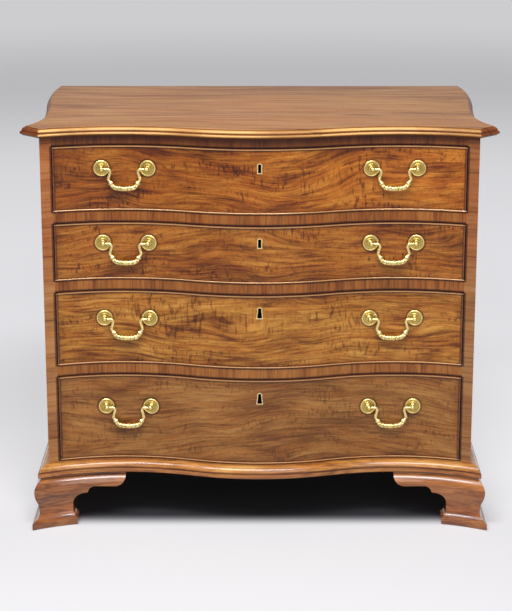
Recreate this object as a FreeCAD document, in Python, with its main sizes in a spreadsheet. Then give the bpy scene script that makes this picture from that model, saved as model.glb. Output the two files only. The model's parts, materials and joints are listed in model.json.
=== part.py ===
import FreeCAD, Part
import math
import os
import Sketcher
from FreeCAD import Vector

# Serpentine dressing chest, in millimetres: +Z up, the front faces -Y, the floor is Z = 0.

# Driving sizes
SIZES = {
    # case
    "case_width": 868,
    "case_depth": 495,
    "side_thick": 22,
    "back_thick": 12,
    "back_rebate": 10,
    "foot_height": 105,
    "bottom_thick": 26,
    "divider_high": 22,
    "rail_high": 20,
    "rail_back": 92,
    "stile_deep": 34,
    "housing": 8,
    "runner_wide": 42,
    "dustboard_thick": 9,
    "mortise_deep": 8,
    "mortise_ease": 1.5,
    "stop_wide": 32,
    "stop_deep": 14,
    "stop_high": 5,
    "waste": 60,
    "opening_1": 135,
    "opening_2": 120,
    "opening_3": 156,
    "opening_4": 183,
    # serpentine line of the front
    "valley_reach": 277,
    "valley_depth": 30,
    "bulge": 42,
    # top
    "top_thick": 18,
    "top_overhang": 18,
    "top_back": 12,
    "ear_out": 41,
    "ear_tip": 21,
    "hollow_out": 8,
    "hollow_back": 145,
    "swell_out": 23,
    "swell_back": 420,
    "rear_out": 16,
    # base moulding and feet
    "base_proud": 20,
    "foot_top": 15,
    "foot_swell": 27,
    "foot_waist": 19,
    "foot_pad": 32,
    "foot_inner": 9,
    "foot_wing": 157,
    "foot_ankle": 48,
    "foot_toe": 58,
    "foot_block": 36,
    "rear_reach": 220,
    "rear_thick": 22,
    "rear_set": 4,
    # drawers
    "fit_side": 1.4,
    "fit_top": 2,
    "fit_bottom": 1.2,
    "run_gap": 0.3,
    "front_thick": 24,
    "bead_thick": 3.5,
    "bead_proud": 2.8,
    "bead_deep": 7.8,
    "lining": 10,
    "lap": 10,
    "side_lower": 5,
    "panel_thick": 7,
    "panel_lift": 9,
    "groove": 5,
    "drawer_short": 10,
    "tail_long": 24,
    "tail_slope": 4,
    "back_slope": 2.5,
    # handles
    "handle_reach": 269,
    "boring": 92,
    "handle_drop_1": 48,
    "handle_drop_2": 43.5,
    "handle_drop_3": 59,
    "handle_drop_4": 70,
    "post_high": 11,
    "ball": 5.2,
    "shank": 2,
    "rosette": 16.4,
    "hub_high": 3.2,
    "nut": 5,
    "bail_neck": 2.4,
    "bail_curl": 5,
    "bail_inset": 12.5,
    "bail_knee": 20.3,
    "bail_drop": 39.5,
    "bail_bow": 90,
    "bail_flat": 16.5,
    "bail_corner": 11,
    "bail_grip": 4.1,
    "bail_leaf": 4.9,
    "bail_knop": 6.1,
    "bail_leg": 58,
    "bail_pin": 1.2,
    "pivot_clear": 0.08,
    # locks
    "key_drop_1": 41,
    "key_drop_2": 36,
    "key_drop_3": 38,
    "key_drop_4": 41,
    "key_head": 5.5,
    "key_wall": 1.9,
    "key_tall_1": 21.5,
    "key_tall_2": 21.5,
    "key_tall_3": 25,
    "key_tall_4": 25,
    "key_foot_1": 10.4,
    "key_foot_2": 10.4,
    "key_foot_3": 14,
    "key_foot_4": 14,
    "lining_deep": 6,
    "lock_wide": 64,
    "lock_high": 46,
    "lock_thick": 11,
    "plate_thick": 2,
    "plate_lap": 5,
    "bolt_wide": 28,
    "bolt_thick": 5,
    "bolt_long": 26,
    "bolt_clear": 0.25,
}

doc = FreeCAD.newDocument("serpentine_dressing_chest")
sheet = doc.addObject("Spreadsheet::Sheet", "Sizes")
for row, (alias, size) in enumerate(SIZES.items(), start=1):
    sheet.set(f"A{row}", alias)
    sheet.set(f"B{row}", str(size))
    sheet.setAlias(f"B{row}", alias)
doc.recompute()
setout = doc.addObject("App::VarSet", "Setout")


def derive(name, formula):
    """A setting-out length worked out from the driving sizes."""
    setout.addProperty("App::PropertyFloat", name)
    setout.setExpression(name, formula)
    setout.recompute()


def val(formula):
    """The number a formula gives now."""
    return float(setout.evalExpression(formula))


# Setting out: plan lines, then the levels from the floor up
derive("half", "Sizes.case_width / 2")
derive("inner", "half - Sizes.side_thick")
derive("radius_in", "(Sizes.valley_reach ^ 2 + Sizes.bulge ^ 2) / (4 * Sizes.bulge)")
derive("outer_run", "half - Sizes.valley_reach")
derive("radius_out", "(outer_run ^ 2 + Sizes.valley_depth ^ 2) / (2 * Sizes.valley_depth)")
derive("pad_run", "sqrt((radius_out - Sizes.foot_pad) ^ 2 - (outer_run + Sizes.foot_pad) ^ 2)")
derive("pad_front", "radius_out - Sizes.valley_depth - pad_run")
derive("depth_all", "Sizes.case_depth + Sizes.top_back + pad_front")
derive("corner_y", "pad_front - depth_all / 2")
derive("back_y", "corner_y + Sizes.case_depth")
derive("y_bulge", "corner_y + Sizes.valley_depth - Sizes.bulge + radius_in")
derive("y_in", "corner_y + Sizes.valley_depth - radius_in")
derive("y_out", "corner_y + Sizes.valley_depth - radius_out")
derive("face_y", "corner_y + Sizes.valley_depth - Sizes.bulge")
derive("mitre_foot", "-atan2(pad_front; Sizes.foot_pad) / 1 deg")
derive("base_run", "sqrt((radius_out - Sizes.base_proud) ^ 2 - (outer_run + Sizes.base_proud) ^ 2)")
derive("base_front", "radius_out - Sizes.valley_depth - base_run")
derive("mitre_base", "-atan2(base_front; Sizes.base_proud) / 1 deg")
derive("level_4", "Sizes.foot_height + Sizes.bottom_thick")
derive("level_3", "level_4 + Sizes.opening_4 + Sizes.divider_high")
derive("level_2", "level_3 + Sizes.opening_3 + Sizes.divider_high")
derive("level_1", "level_2 + Sizes.opening_2 + Sizes.divider_high")
derive("rail_low", "level_1 + Sizes.opening_1")
derive("top_low", "rail_low + Sizes.rail_high")
derive("height_all", "top_low + Sizes.top_thick")
derive("drawer_half", "inner - Sizes.fit_side")
derive("drawer_end", "back_y - Sizes.back_thick - Sizes.drawer_short")
derive("end_gap", "sqrt(radius_out ^ 2 - (drawer_half - Sizes.valley_reach) ^ 2)")
derive("lap_y", "y_out + end_gap + Sizes.lap")
doc.recompute()

nodes = []


def node(item, label):
    """Marks an object as one piece of the hand-in."""
    item.Label = label
    nodes.append(item)
    return item


def box(name, x, y, z):
    """A board between two formulas along each axis."""
    item = doc.addObject("Part::Box", name)
    for axis, edge, (low, high) in zip("xyz", ("Length", "Width", "Height"), (x, y, z)):
        item.setExpression(edge, f"({high}) - ({low})")
        item.setExpression(f"Placement.Base.{axis}", low)
    return item


def wedge(name, x, y, z_front, z_back):
    """A dovetail: one width at the first y, another at the second."""
    item = doc.addObject("Part::Wedge", name)
    for key, formula in zip(("Xmin", "Xmax", "X2min", "X2max"), (*x, *x)):
        item.setExpression(key, formula)
    for key, formula in zip(("Ymin", "Ymax"), y):
        item.setExpression(key, formula)
    for key, formula in zip(("Zmin", "Zmax", "Z2min", "Z2max"), (*z_front, *z_back)):
        item.setExpression(key, formula)
    return item


def many(kind, name, items):
    """A boolean or a group of several objects."""
    item = doc.addObject(kind, name)
    if kind == "Part::Compound":
        item.Links = list(items)
    else:
        item.Shapes = list(items)
    return item


def fuse(name, *items):
    item = many("Part::MultiFuse", name, items)
    item.Refine = True
    return item


def common(name, *items):
    item = many("Part::MultiCommon", name, items)
    item.Refine = True
    return item


def group(name, *items):
    return many("Part::Compound", name, items)


def cut(name, base, *tools):
    item = doc.addObject("Part::Cut", name)
    item.Base = base
    item.Tool = tools[0] if len(tools) == 1 else group(f"{name}_tools", *tools)
    item.Refine = True
    return item


def mirror(name, item):
    """The same piece on the other side of the chest."""
    copy = doc.addObject("Part::Mirroring", name)
    copy.Source = item
    copy.Normal = Vector(1, 0, 0)
    return copy


def sketch_on(body, name, role):
    sketch = body.newObject("Sketcher::SketchObject", name)
    plane = [item for item in body.Origin.OriginFeatures if item.Role == role][0]
    sketch.AttachmentSupport = [(plane, "")]
    sketch.MapMode = "FlatFace"
    return sketch


def bound(sketch, rule, formula):
    """Adds one dimension and ties it to its formula."""
    index = sketch.addConstraint(Sketcher.Constraint(*rule, val(formula)))
    sketch.setExpression(f"Constraints[{index}]", formula)


def arc(sketch, centre, radius, start, end):
    circle = Part.Circle(Vector(*centre, 0), Vector(0, 0, 1), radius)
    return sketch.addGeometry(Part.ArcOfCircle(circle, start, end), False)


def outline(sketch, points):
    """A closed outline. Each point has x and y formulas, and a third one, where there is one, is the
    radius of the arc that leads to it: positive turns left, negative turns right."""
    places = [(val(point[0]), val(point[1])) for point in points]
    ends = []
    for index, point in enumerate(points):
        start = Vector(*places[index - 1], 0)
        stop = Vector(*places[index], 0)
        if len(point) == 2:
            line = sketch.addGeometry(Part.LineSegment(start, stop), False)
            ends.append((line, 1, 2))
            continue
        radius = val(point[2])
        chord = stop - start
        side = Vector(-chord.y, chord.x, 0).normalize()
        rise = math.sqrt(radius ** 2 - (chord.Length / 2) ** 2)
        centre = start + chord / 2 + side * math.copysign(rise, radius)
        first, last = (start, stop) if radius > 0 else (stop, start)
        angles = [math.atan2(spot.y - centre.y, spot.x - centre.x) for spot in (first, last)]
        if angles[1] < angles[0]:
            angles[1] += 2 * math.pi
        curve = arc(sketch, (centre.x, centre.y), abs(radius), *angles)
        ends.append((curve, 1, 2) if radius > 0 else (curve, 2, 1))
    for index, (line, first, last) in enumerate(ends):
        after, after_first, _ = ends[(index + 1) % len(ends)]
        sketch.addConstraint(Sketcher.Constraint("Coincident", line, last, after, after_first))
    for point, (line, first, last) in zip(points, ends):
        bound(sketch, ("DistanceX", -1, 1, line, last), point[0])
        bound(sketch, ("DistanceY", -1, 1, line, last), point[1])
        if len(point) == 3:
            bound(sketch, ("Radius", line), f"abs({point[2]})")


def front_half(sketch, offset, end):
    """The right half of the serpentine, moved forward by the offset: half the swell, the inner hollow
    and the outer hollow, which meet at a tangent and end at the given x."""
    shift = val(offset)
    reach = val("Sizes.valley_reach")
    turn = math.asin(reach / 2 / val("Setout.radius_in"))
    outer = val("Setout.radius_out") - shift
    sweep = math.asin((val(end) - reach) / outer)
    inner = val("Setout.radius_in") - shift
    swell_radius = val("Setout.radius_in") + shift
    down = 1.5 * math.pi
    up = 0.5 * math.pi
    swell = arc(sketch, (0, val("Setout.y_bulge")), swell_radius, down, down + turn)
    hollow = arc(sketch, (reach, val("Setout.y_in")), inner, up, up + turn)
    last = arc(sketch, (reach, val("Setout.y_out")), outer, up - sweep, up)
    sketch.addConstraint(Sketcher.Constraint("PointOnObject", swell, 3, -2))
    sketch.addConstraint(Sketcher.Constraint("PointOnObject", swell, 1, -2))
    sketch.addConstraint(Sketcher.Constraint("Tangent", swell, 2, hollow, 2))
    sketch.addConstraint(Sketcher.Constraint("Tangent", hollow, 1, last, 2))
    bound(sketch, ("DistanceY", -1, 1, swell, 3), "Setout.y_bulge")
    bound(sketch, ("Radius", swell), f"Setout.radius_in + ({offset})")
    bound(sketch, ("Radius", hollow), f"Setout.radius_in - ({offset})")
    bound(sketch, ("Radius", last), f"Setout.radius_out - ({offset})")
    bound(sketch, ("DistanceX", -1, 1, hollow, 3), "Sizes.valley_reach")
    bound(sketch, ("DistanceX", -1, 1, last, 3), "Sizes.valley_reach")
    bound(sketch, ("DistanceX", -1, 1, last, 1), end)
    return swell, hollow, last


def join(sketch, first, first_end, second, second_end):
    sketch.addConstraint(Sketcher.Constraint("Coincident", first, first_end, second, second_end))


def straight(sketch, start, stop):
    return sketch.addGeometry(Part.LineSegment(Vector(*start, 0), Vector(*stop, 0)), False)


def template(name, offset):
    """Everything behind the serpentine line, as tall as the chest: the shape the boards are sawn to."""
    body = doc.addObject("PartDesign::Body", f"{name}_half")
    sketch = sketch_on(body, f"{name}_line", "XY_Plane")
    end = "Setout.half + 30"
    swell, hollow, last = front_half(sketch, offset, end)
    far = val("Setout.back_y + 20")
    edge = straight(sketch, (val(end), 0), (val(end), far))
    back = straight(sketch, (val(end), far), (0, far))
    middle = straight(sketch, (0, far), (0, val("Setout.face_y")))
    join(sketch, last, 1, edge, 1)
    join(sketch, edge, 2, back, 1)
    join(sketch, back, 2, middle, 1)
    join(sketch, middle, 2, swell, 1)
    sketch.addConstraint(Sketcher.Constraint("Vertical", edge))
    sketch.addConstraint(Sketcher.Constraint("Horizontal", back))
    sketch.addConstraint(Sketcher.Constraint("PointOnObject", back, 2, -2))
    bound(sketch, ("DistanceY", -1, 1, back, 1), "Setout.back_y + 20")
    pad = body.newObject("PartDesign::Pad", f"{name}_pad")
    pad.Profile = sketch
    pad.setExpression("Length", "Setout.height_all")
    doc.recompute()
    return fuse(name, body, mirror(f"{name}_left", body))


def front_place(x, offset=0.0):
    """A point on the serpentine at x, moved forward by the offset, and the outward normal there."""
    reach = val("Sizes.valley_reach")
    side = abs(x)
    if side <= reach / 2:
        centre = Vector(0, val("Setout.y_bulge"), 0)
        radius = val("Setout.radius_in")
        spot = Vector(x, centre.y - math.sqrt(radius ** 2 - x ** 2), 0)
        normal = (spot - centre) / radius
    else:
        inside = side <= reach
        radius = val("Setout.radius_in" if inside else "Setout.radius_out")
        centre = Vector(math.copysign(reach, x), val("Setout.y_in" if inside else "Setout.y_out"), 0)
        spot = Vector(x, centre.y + math.sqrt(radius ** 2 - (x - centre.x) ** 2), 0)
        normal = (centre - spot) / radius
    return spot + normal * offset, normal


# Templates: the case face, the back of the drawer fronts, the beads and the drawer bottoms
face = template("case_face", "0")
front_back = template("front_back", "-Sizes.front_thick")
bead_face = template("bead_face", "Sizes.bead_proud")
bead_back = template("bead_back", "-Sizes.bead_deep")
panel_edge = template("panel_edge", "Sizes.groove - Sizes.front_thick")
front_band = cut("front_band", face, front_back)
bead_band = cut("bead_band", bead_face, bead_back)
doc.recompute()

# Drawer dividers and top rail: sawn to the serpentine, housed in the sides behind the stiles
INNER = ("-Setout.inner", "Setout.inner")
HOUSED = ("-Setout.inner - Sizes.housing", "Setout.inner + Sizes.housing")
ANY_Y = ("Setout.corner_y - 100", "Setout.corner_y + Sizes.rail_back")
BEHIND_STILE = ("Setout.corner_y + Sizes.stile_deep", "Setout.corner_y + Sizes.rail_back")
BOLT_Y = "Setout.face_y + Sizes.front_thick - Sizes.lock_thick / 2"
MORTISE_X = ("-Sizes.bolt_wide / 2 - Sizes.mortise_ease", "Sizes.bolt_wide / 2 + Sizes.mortise_ease")
MORTISE_HALF = "(Sizes.bolt_thick / 2 + Sizes.mortise_ease)"
MORTISE_Y = (f"{BOLT_Y} - {MORTISE_HALF}", f"{BOLT_Y} + {MORTISE_HALF}")
DUST_Y = ("Setout.corner_y + Sizes.rail_back - Sizes.housing", "Setout.back_y - Sizes.back_thick")
runners = []
dustboards = []
dividers = []
for n in (1, 2, 3):
    low = f"Setout.level_{n} - Sizes.divider_high"
    high = f"Setout.level_{n}"
    mid = f"Setout.level_{n} - Sizes.divider_high / 2"
    dust_z = (f"{mid} - Sizes.dustboard_thick / 2", f"{mid} + Sizes.dustboard_thick / 2")
    dust_x = "Setout.inner - Sizes.runner_wide + Sizes.housing"
    dust = box(f"dustboard_{n}", (f"-({dust_x})", dust_x), DUST_Y, dust_z)
    dustboards.append(dust)
    bar = box(f"divider_bar_{n}", INNER, ANY_Y, (low, high))
    ends = box(f"divider_ends_{n}", HOUSED, BEHIND_STILE, (low, high))
    blank = common(f"divider_blank_{n}", fuse(f"divider_both_{n}", bar, ends), face)
    mortise = box(f"divider_mortise_{n}", MORTISE_X, MORTISE_Y, (f"{low} - 1", f"{low} + Sizes.mortise_deep"))
    dividers.append(node(cut(f"divider_{n}", blank, mortise, dust), f"drawer_divider_{n}"))
    run_x = ("Setout.inner - Sizes.runner_wide", "Setout.inner + Sizes.housing")
    run_y = ("Setout.corner_y + Sizes.rail_back", "Setout.back_y - Sizes.back_thick")
    runner = cut(f"runner_right_{n}", box(f"runner_blank_{n}", run_x, run_y, (low, high)), dust)
    runners += [runner, mirror(f"runner_left_{n}", runner)]
rail_z = ("Setout.rail_low", "Setout.top_low")
rail_blank = common("rail_blank", box("rail_bar", INNER, ANY_Y, rail_z), face)
rail_slot = ("Setout.rail_low - 1", "Setout.rail_low + Sizes.mortise_deep")
rail_mortise = box("rail_mortise", MORTISE_X, MORTISE_Y, rail_slot)
node(cut("rail", rail_blank, rail_mortise), "top_rail")
kicker_x = ("Setout.inner - Sizes.runner_wide", "Setout.inner")
kicker_y = ("Setout.corner_y + Sizes.rail_back", "Setout.back_y - Sizes.back_thick")
kicker = box("kicker_right", kicker_x, kicker_y, rail_z)
node(group("dustboard_set", *dustboards), "dustboards")

# Sides with housings for dividers and runners and a rebate for the back
side_x = ("Setout.inner", "Setout.half")
side_z = ("Sizes.foot_height", "Setout.top_low")
side_y = ("Setout.corner_y + Sizes.stile_deep", "Setout.back_y")
side_blank = box("side_blank", side_x, side_y, side_z)
rebate_x = ("Setout.inner - 1", "Setout.inner + Sizes.back_rebate")
rebate = box("back_rebate_cut", rebate_x, ("Setout.back_y - Sizes.back_thick", "Setout.back_y + 1"), side_z)
right_runners = runners[0::2]
side_right = cut("side_right", side_blank, rebate, *dividers, *right_runners)
node(side_right, "side_panel_right")
node(mirror("side_left", side_right), "side_panel_left")

# Stiles: cross-grained strips that follow the serpentine at the two front corners
stile_y = ("Setout.corner_y - 20", "Setout.corner_y + Sizes.stile_deep")
stile = common("stile_right", box("stile_blank", side_x, stile_y, side_z), face)
node(group("stile_pair", stile, mirror("stile_left", stile)), "front_stiles")

# Bottom board, sawn to the serpentine in front
bottom_y = ("Setout.corner_y - 100", "Setout.back_y - Sizes.back_thick")
bottom_z = ("Sizes.foot_height", "Setout.level_4")
node(common("bottom", box("bottom_blank", INNER, bottom_y, bottom_z), face), "bottom_board")

# Back: four upright boards in the rebates of the sides
boards = []
for n in range(4):
    wide = "(Setout.inner + Sizes.back_rebate) / 2"
    board_x = (f"{wide} * ({n} - 2) + 0.3", f"{wide} * ({n} - 1) - 0.3")
    board_y = ("Setout.back_y - Sizes.back_thick", "Setout.back_y")
    boards.append(box(f"back_board_{n}", board_x, board_y, side_z))
node(group("back_set", *boards), "back_boards")

# Stops: two blocks behind each drawer front, on the board the drawer runs on
stop_x = ("Sizes.valley_reach - Sizes.stop_wide / 2", "Sizes.valley_reach + Sizes.stop_wide / 2")
stop_front = "Setout.corner_y + Sizes.valley_depth + Sizes.front_thick + Sizes.run_gap"
for n in (1, 2, 3, 4):
    stop_z = (f"Setout.level_{n}", f"Setout.level_{n} + Sizes.stop_high")
    stop = box(f"stop_right_{n}", stop_x, (stop_front, f"{stop_front} + Sizes.stop_deep"), stop_z)
    runners += [stop, mirror(f"stop_left_{n}", stop)]
node(group("runner_set", *runners, kicker, mirror("kicker_left", kicker)), "drawer_runners")
doc.recompute()

# Top: eared outline, right half, with the moulded edge run round it, then mirrored
derive("tip_x", "half + Sizes.ear_out")
derive("hollow_x", "half + Sizes.hollow_out")
derive("hollow_y", "corner_y + Sizes.hollow_back")
derive("swell_y", "corner_y + Sizes.swell_back")
derive("top_end", "back_y + Sizes.top_back")
derive("ear_run", "Sizes.hollow_back - Sizes.ear_tip")
derive("ear_rise", "Sizes.ear_out - Sizes.hollow_out")
derive("radius_ear", "(ear_run ^ 2 + ear_rise ^ 2) / (2 * ear_rise)")
derive("side_run", "Sizes.swell_back - Sizes.hollow_back")
derive("side_rise", "Sizes.swell_out - Sizes.hollow_out")
derive("radius_side", "(side_run ^ 2 + side_rise ^ 2) / (4 * side_rise)")
derive("rear_run", "Sizes.case_depth + Sizes.top_back - Sizes.swell_back")
derive("rear_fall", "Sizes.swell_out - Sizes.rear_out")
derive("radius_rear", "(rear_run ^ 2 + rear_fall ^ 2) / (2 * rear_fall)")
doc.recompute()


def top_edge(sketch, end):
    """The edge of the top from the middle of the front to the back corner."""
    swell, hollow, last = front_half(sketch, "Sizes.top_overhang", "Setout.half")
    hollow_x = val("Setout.hollow_x")
    hollow_y = val("Setout.hollow_y")
    tip = (val("Setout.tip_x"), val("Setout.corner_y + Sizes.ear_tip"))
    ear_radius = val("Setout.radius_ear")
    side_radius = val("Setout.radius_side")
    rear_radius = val("Setout.radius_rear")
    ear_turn = math.asin(val("Setout.ear_run") / ear_radius)
    side_turn = math.asin(val("Setout.side_run") / 2 / side_radius)
    rear_turn = math.asin((val(end) - val("Setout.swell_y")) / rear_radius)
    swell_x = val("Setout.half + Sizes.swell_out")
    swell_y = val("Setout.swell_y")
    start = front_place(val("Setout.half"), 0)[0]
    cant = straight(sketch, (start.x, start.y), tip)
    ear = arc(sketch, (hollow_x + ear_radius, hollow_y), ear_radius, math.pi, math.pi + ear_turn)
    dip = arc(sketch, (hollow_x + side_radius, hollow_y), side_radius, math.pi - side_turn, math.pi)
    rise = arc(sketch, (swell_x - side_radius, swell_y), side_radius, -side_turn, 0)
    rear = arc(sketch, (swell_x - rear_radius, swell_y), rear_radius, 0, rear_turn)
    join(sketch, last, 1, cant, 1)
    join(sketch, cant, 2, ear, 2)
    sketch.addConstraint(Sketcher.Constraint("Tangent", ear, 1, dip, 2))
    sketch.addConstraint(Sketcher.Constraint("Tangent", dip, 1, rise, 1))
    sketch.addConstraint(Sketcher.Constraint("Tangent", rise, 2, rear, 1))
    bound(sketch, ("DistanceX", -1, 1, cant, 2), "Setout.tip_x")
    bound(sketch, ("DistanceY", -1, 1, cant, 2), "Setout.corner_y + Sizes.ear_tip")
    bound(sketch, ("DistanceX", -1, 1, ear, 1), "Setout.hollow_x")
    bound(sketch, ("DistanceY", -1, 1, ear, 1), "Setout.hollow_y")
    bound(sketch, ("DistanceY", -1, 1, ear, 3), "Setout.hollow_y")
    bound(sketch, ("Radius", dip), "Setout.radius_side")
    bound(sketch, ("Radius", rise), "Setout.radius_side")
    bound(sketch, ("DistanceY", -1, 1, rise, 3), "Setout.swell_y")
    bound(sketch, ("DistanceY", -1, 1, rear, 1), "Setout.swell_y")
    bound(sketch, ("Radius", rear), "Setout.radius_rear")
    bound(sketch, ("DistanceY", -1, 1, rear, 2), end)
    return swell, rear


top_body = doc.addObject("PartDesign::Body", "top_half")
top_plan = sketch_on(top_body, "top_plan", "XY_Plane")
first, last = top_edge(top_plan, "Setout.top_end")
rear_x = val("Setout.half + Sizes.rear_out")
far = val("Setout.top_end")
back = straight(top_plan, (rear_x, far), (0, far))
middle = straight(top_plan, (0, far), (0, val("Setout.face_y")))
join(top_plan, last, 2, back, 1)
join(top_plan, back, 2, middle, 1)
join(top_plan, middle, 2, first, 1)
top_plan.addConstraint(Sketcher.Constraint("Horizontal", back))
top_plan.addConstraint(Sketcher.Constraint("PointOnObject", back, 2, -2))
top_pad = top_body.newObject("PartDesign::Pad", "top_pad")
top_pad.Profile = top_plan
top_pad.setExpression("Length", "Sizes.top_thick")
top_path = sketch_on(top_body, "top_path", "XY_Plane")
top_edge(top_path, "Setout.top_end + 8")
top_waste = sketch_on(top_body, "top_waste", "YZ_Plane")
EDGE = "(Setout.face_y - Sizes.top_overhang)"
T = "Sizes.top_thick"
outline(top_waste, [
    (f"{EDGE} - 12", f"{T} + 4"),
    (f"{EDGE} - 12", "-4"),
    (f"{EDGE} + 5", "-4"),
    (f"{EDGE} + 5", f"{T} * 0.02"),
    (f"{EDGE} + 2.2", f"{T} * 0.13"),
    (f"{EDGE} + 2.2", f"{T} * 0.48", f"-{T} * 0.195"),
    (f"{EDGE} + 3.6", f"{T} * 0.48"),
    (f"{EDGE} + 3.6", f"{T} * 0.56"),
    (f"{EDGE} + 9.6", f"{T} * 0.92", f"-{T} * 0.39"),
    (f"{EDGE} + 9.6", f"{T} + 4"),
])
doc.recompute()
top_mould = top_body.newObject("PartDesign::SubtractivePipe", "top_mould")
top_mould.Profile = top_waste
top_mould.Spine = top_path
top_mould.Transition = "Right corner"
top_body.setExpression("Placement.Base.z", "Setout.top_low")
doc.recompute()
node(fuse("top", top_body, mirror("top_left", top_body)), "top_board")
doc.recompute()

# Base moulding: run along the serpentine and along each side, mitred at the corners
B = "Sizes.bottom_thick"
P = "Sizes.base_proud"


def base_section(sketch, out, turn):
    """The moulding in section: a fillet, a thumb, a quirk and an upright fascia. The turn is 1 where
    outward is to the right in the sketch and -1 where it is to the left."""
    low = "Sizes.foot_height"
    outline(sketch, [
        (out("0"), f"{low} + 0.02"),
        (out(f"{P} - 2"), f"{low} + 0.02"),
        (out(P), f"{low} + {B} * 0.08"),
        (out(P), f"{low} + {B} * 0.38"),
        (out(f"{P} - 2"), f"{low} + {B} * 0.38"),
        (out(f"{P} - 2"), f"{low} + {B} * 0.45"),
        (out(f"{P} * 0.2"), f"{low} + {B} * 0.93", f"{turn} * {B} * 0.54"),
        (out(f"{P} * 0.2"), f"{low} + {B}"),
        (out("0"), f"{low} + {B}"),
    ])


def cutter(name, turn):
    """All that lies beyond the mitre of the right front corner."""
    item = doc.addObject("Part::Box", name)
    item.Placement.Rotation = FreeCAD.Rotation(Vector(0, 0, 1), 10)
    item.setExpression("Length", "Sizes.case_depth * 2 + 200")
    item.setExpression("Width", "Sizes.case_depth * 2")
    item.setExpression("Height", "Setout.level_4 + 40")
    item.setExpression("Placement.Rotation.Angle", turn)
    item.setExpression("Placement.Base.x", f"Setout.half - Sizes.case_depth * 2 * cos({turn})")
    item.setExpression("Placement.Base.y", f"Setout.corner_y - Sizes.case_depth * 2 * sin({turn})")
    item.setExpression("Placement.Base.z", "-20")
    return item


base_body = doc.addObject("PartDesign::Body", "base_half")
base_path = sketch_on(base_body, "base_path", "XY_Plane")
front_half(base_path, "0", "Setout.half + Sizes.waste")
base_front = sketch_on(base_body, "base_front_section", "YZ_Plane")
base_section(base_front, lambda out: f"Setout.face_y - ({out})", -1)
doc.recompute()
base_run = base_body.newObject("PartDesign::AdditivePipe", "base_run")
base_run.Profile = base_front
base_run.Spine = base_path
doc.recompute()
base_mitre = cutter("base_mitre", "Setout.mitre_base")
base_right = cut("base_right", base_body, base_mitre)
base_full = fuse("base_full", base_right, mirror("base_left", base_right))
base_side = doc.addObject("PartDesign::Body", "base_side_run")
base_side.setExpression("Placement.Base.y", "Setout.back_y")
side_section = sketch_on(base_side, "base_side_section", "XZ_Plane")
base_section(side_section, lambda out: f"Setout.half + ({out})", 1)
side_pad = base_side.newObject("PartDesign::Pad", "base_side_pad")
side_pad.Profile = side_section
side_pad.setExpression("Length", "Sizes.case_depth + Sizes.waste * 2")
doc.recompute()
base_return = common("base_return", base_side, base_mitre)
node(group("base_set", base_full, base_return, mirror("base_return_left", base_return)), "base_mouldings")
doc.recompute()

# Feet: ogee brackets, the front ones turned about the centre of the outer hollow
H = "Sizes.foot_height"


def ogee(sketch, out, turn):
    """The foot in section: pad, cavetto, hollow waist and swelling shoulder."""
    outline(sketch, [
        (out("-Sizes.foot_inner"), "0"),
        (out("Sizes.foot_pad - 1.5"), "0"),
        (out("Sizes.foot_pad"), f"{H} * 0.02"),
        (out("Sizes.foot_pad"), f"{H} * 0.125"),
        (out("Sizes.foot_pad - 2"), f"{H} * 0.14"),
        (out("Sizes.foot_waist"), f"{H} * 0.34", f"{turn} * -{H} * 0.19"),
        (out("Sizes.foot_waist + 3"), f"{H} * 0.52", f"{turn} * -{H} * 0.42"),
        (out("Sizes.foot_swell"), f"{H} * 0.76", f"{turn} * {H} * 0.6"),
        (out("Sizes.foot_top"), f"{H} * 0.965", f"{turn} * {H} * 0.245"),
        (out("Sizes.foot_top"), f"{H}"),
        (out("-Sizes.foot_inner"), f"{H}"),
    ])


def scroll(sketch, along, turn):
    """The bracket seen from the front: wing, lip, cusp, arch, ankle and toe."""
    outline(sketch, [
        (along("Sizes.foot_wing"), f"{H} + 1"),
        (along("Sizes.foot_wing"), f"{H} * 0.95"),
        (along("Sizes.foot_wing - 23"), f"{H} * 0.735", f"{turn} * {H} * 0.222"),
        (along("Sizes.foot_ankle + 45"), f"{H} * 0.755"),
        (along("Sizes.foot_ankle + 31"), f"{H} * 0.63", f"{turn} * -{H} * 0.135"),
        (along("Sizes.foot_ankle + 23"), f"{H} * 0.62"),
        (along("Sizes.foot_ankle"), f"{H} * 0.4", f"{turn} * -{H} * 0.225"),
        (along("Sizes.foot_ankle"), f"{H} * 0.26"),
        (along("Sizes.foot_toe"), f"{H} * 0.14", f"{turn} * -{H} * 0.125"),
        (along("Sizes.foot_toe"), "-1"),
        (along("-70"), "-1"),
        (along("-70"), f"{H} + 1"),
    ])


foot_turn = doc.addObject("PartDesign::Body", "foot_turn")
foot_turn.Placement.Rotation = FreeCAD.Rotation(Vector(0, 0, 1), 90)
foot_turn.setExpression("Placement.Base.x", "Sizes.valley_reach")
foot_turn.setExpression("Placement.Base.y", "Setout.y_out")
turn_section = sketch_on(foot_turn, "foot_turn_section", "XZ_Plane")
ogee(turn_section, lambda out: f"Setout.radius_out - ({out})", -1)
turned = foot_turn.newObject("PartDesign::Revolution", "foot_turned")
turned.Profile = turn_section
turned.ReferenceAxis = (turn_section, ["V_Axis"])
turned.Angle = 40
turned.Reversed = True
foot_side = doc.addObject("PartDesign::Body", "foot_side")
foot_side.setExpression("Placement.Base.y", "Setout.back_y")
side_ogee = sketch_on(foot_side, "foot_side_section", "XZ_Plane")
ogee(side_ogee, lambda out: f"Setout.half + ({out})", 1)
side_run = foot_side.newObject("PartDesign::Pad", "foot_side_pad")
side_run.Profile = side_ogee
side_run.setExpression("Length", "Sizes.case_depth + Sizes.waste * 2")


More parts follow.
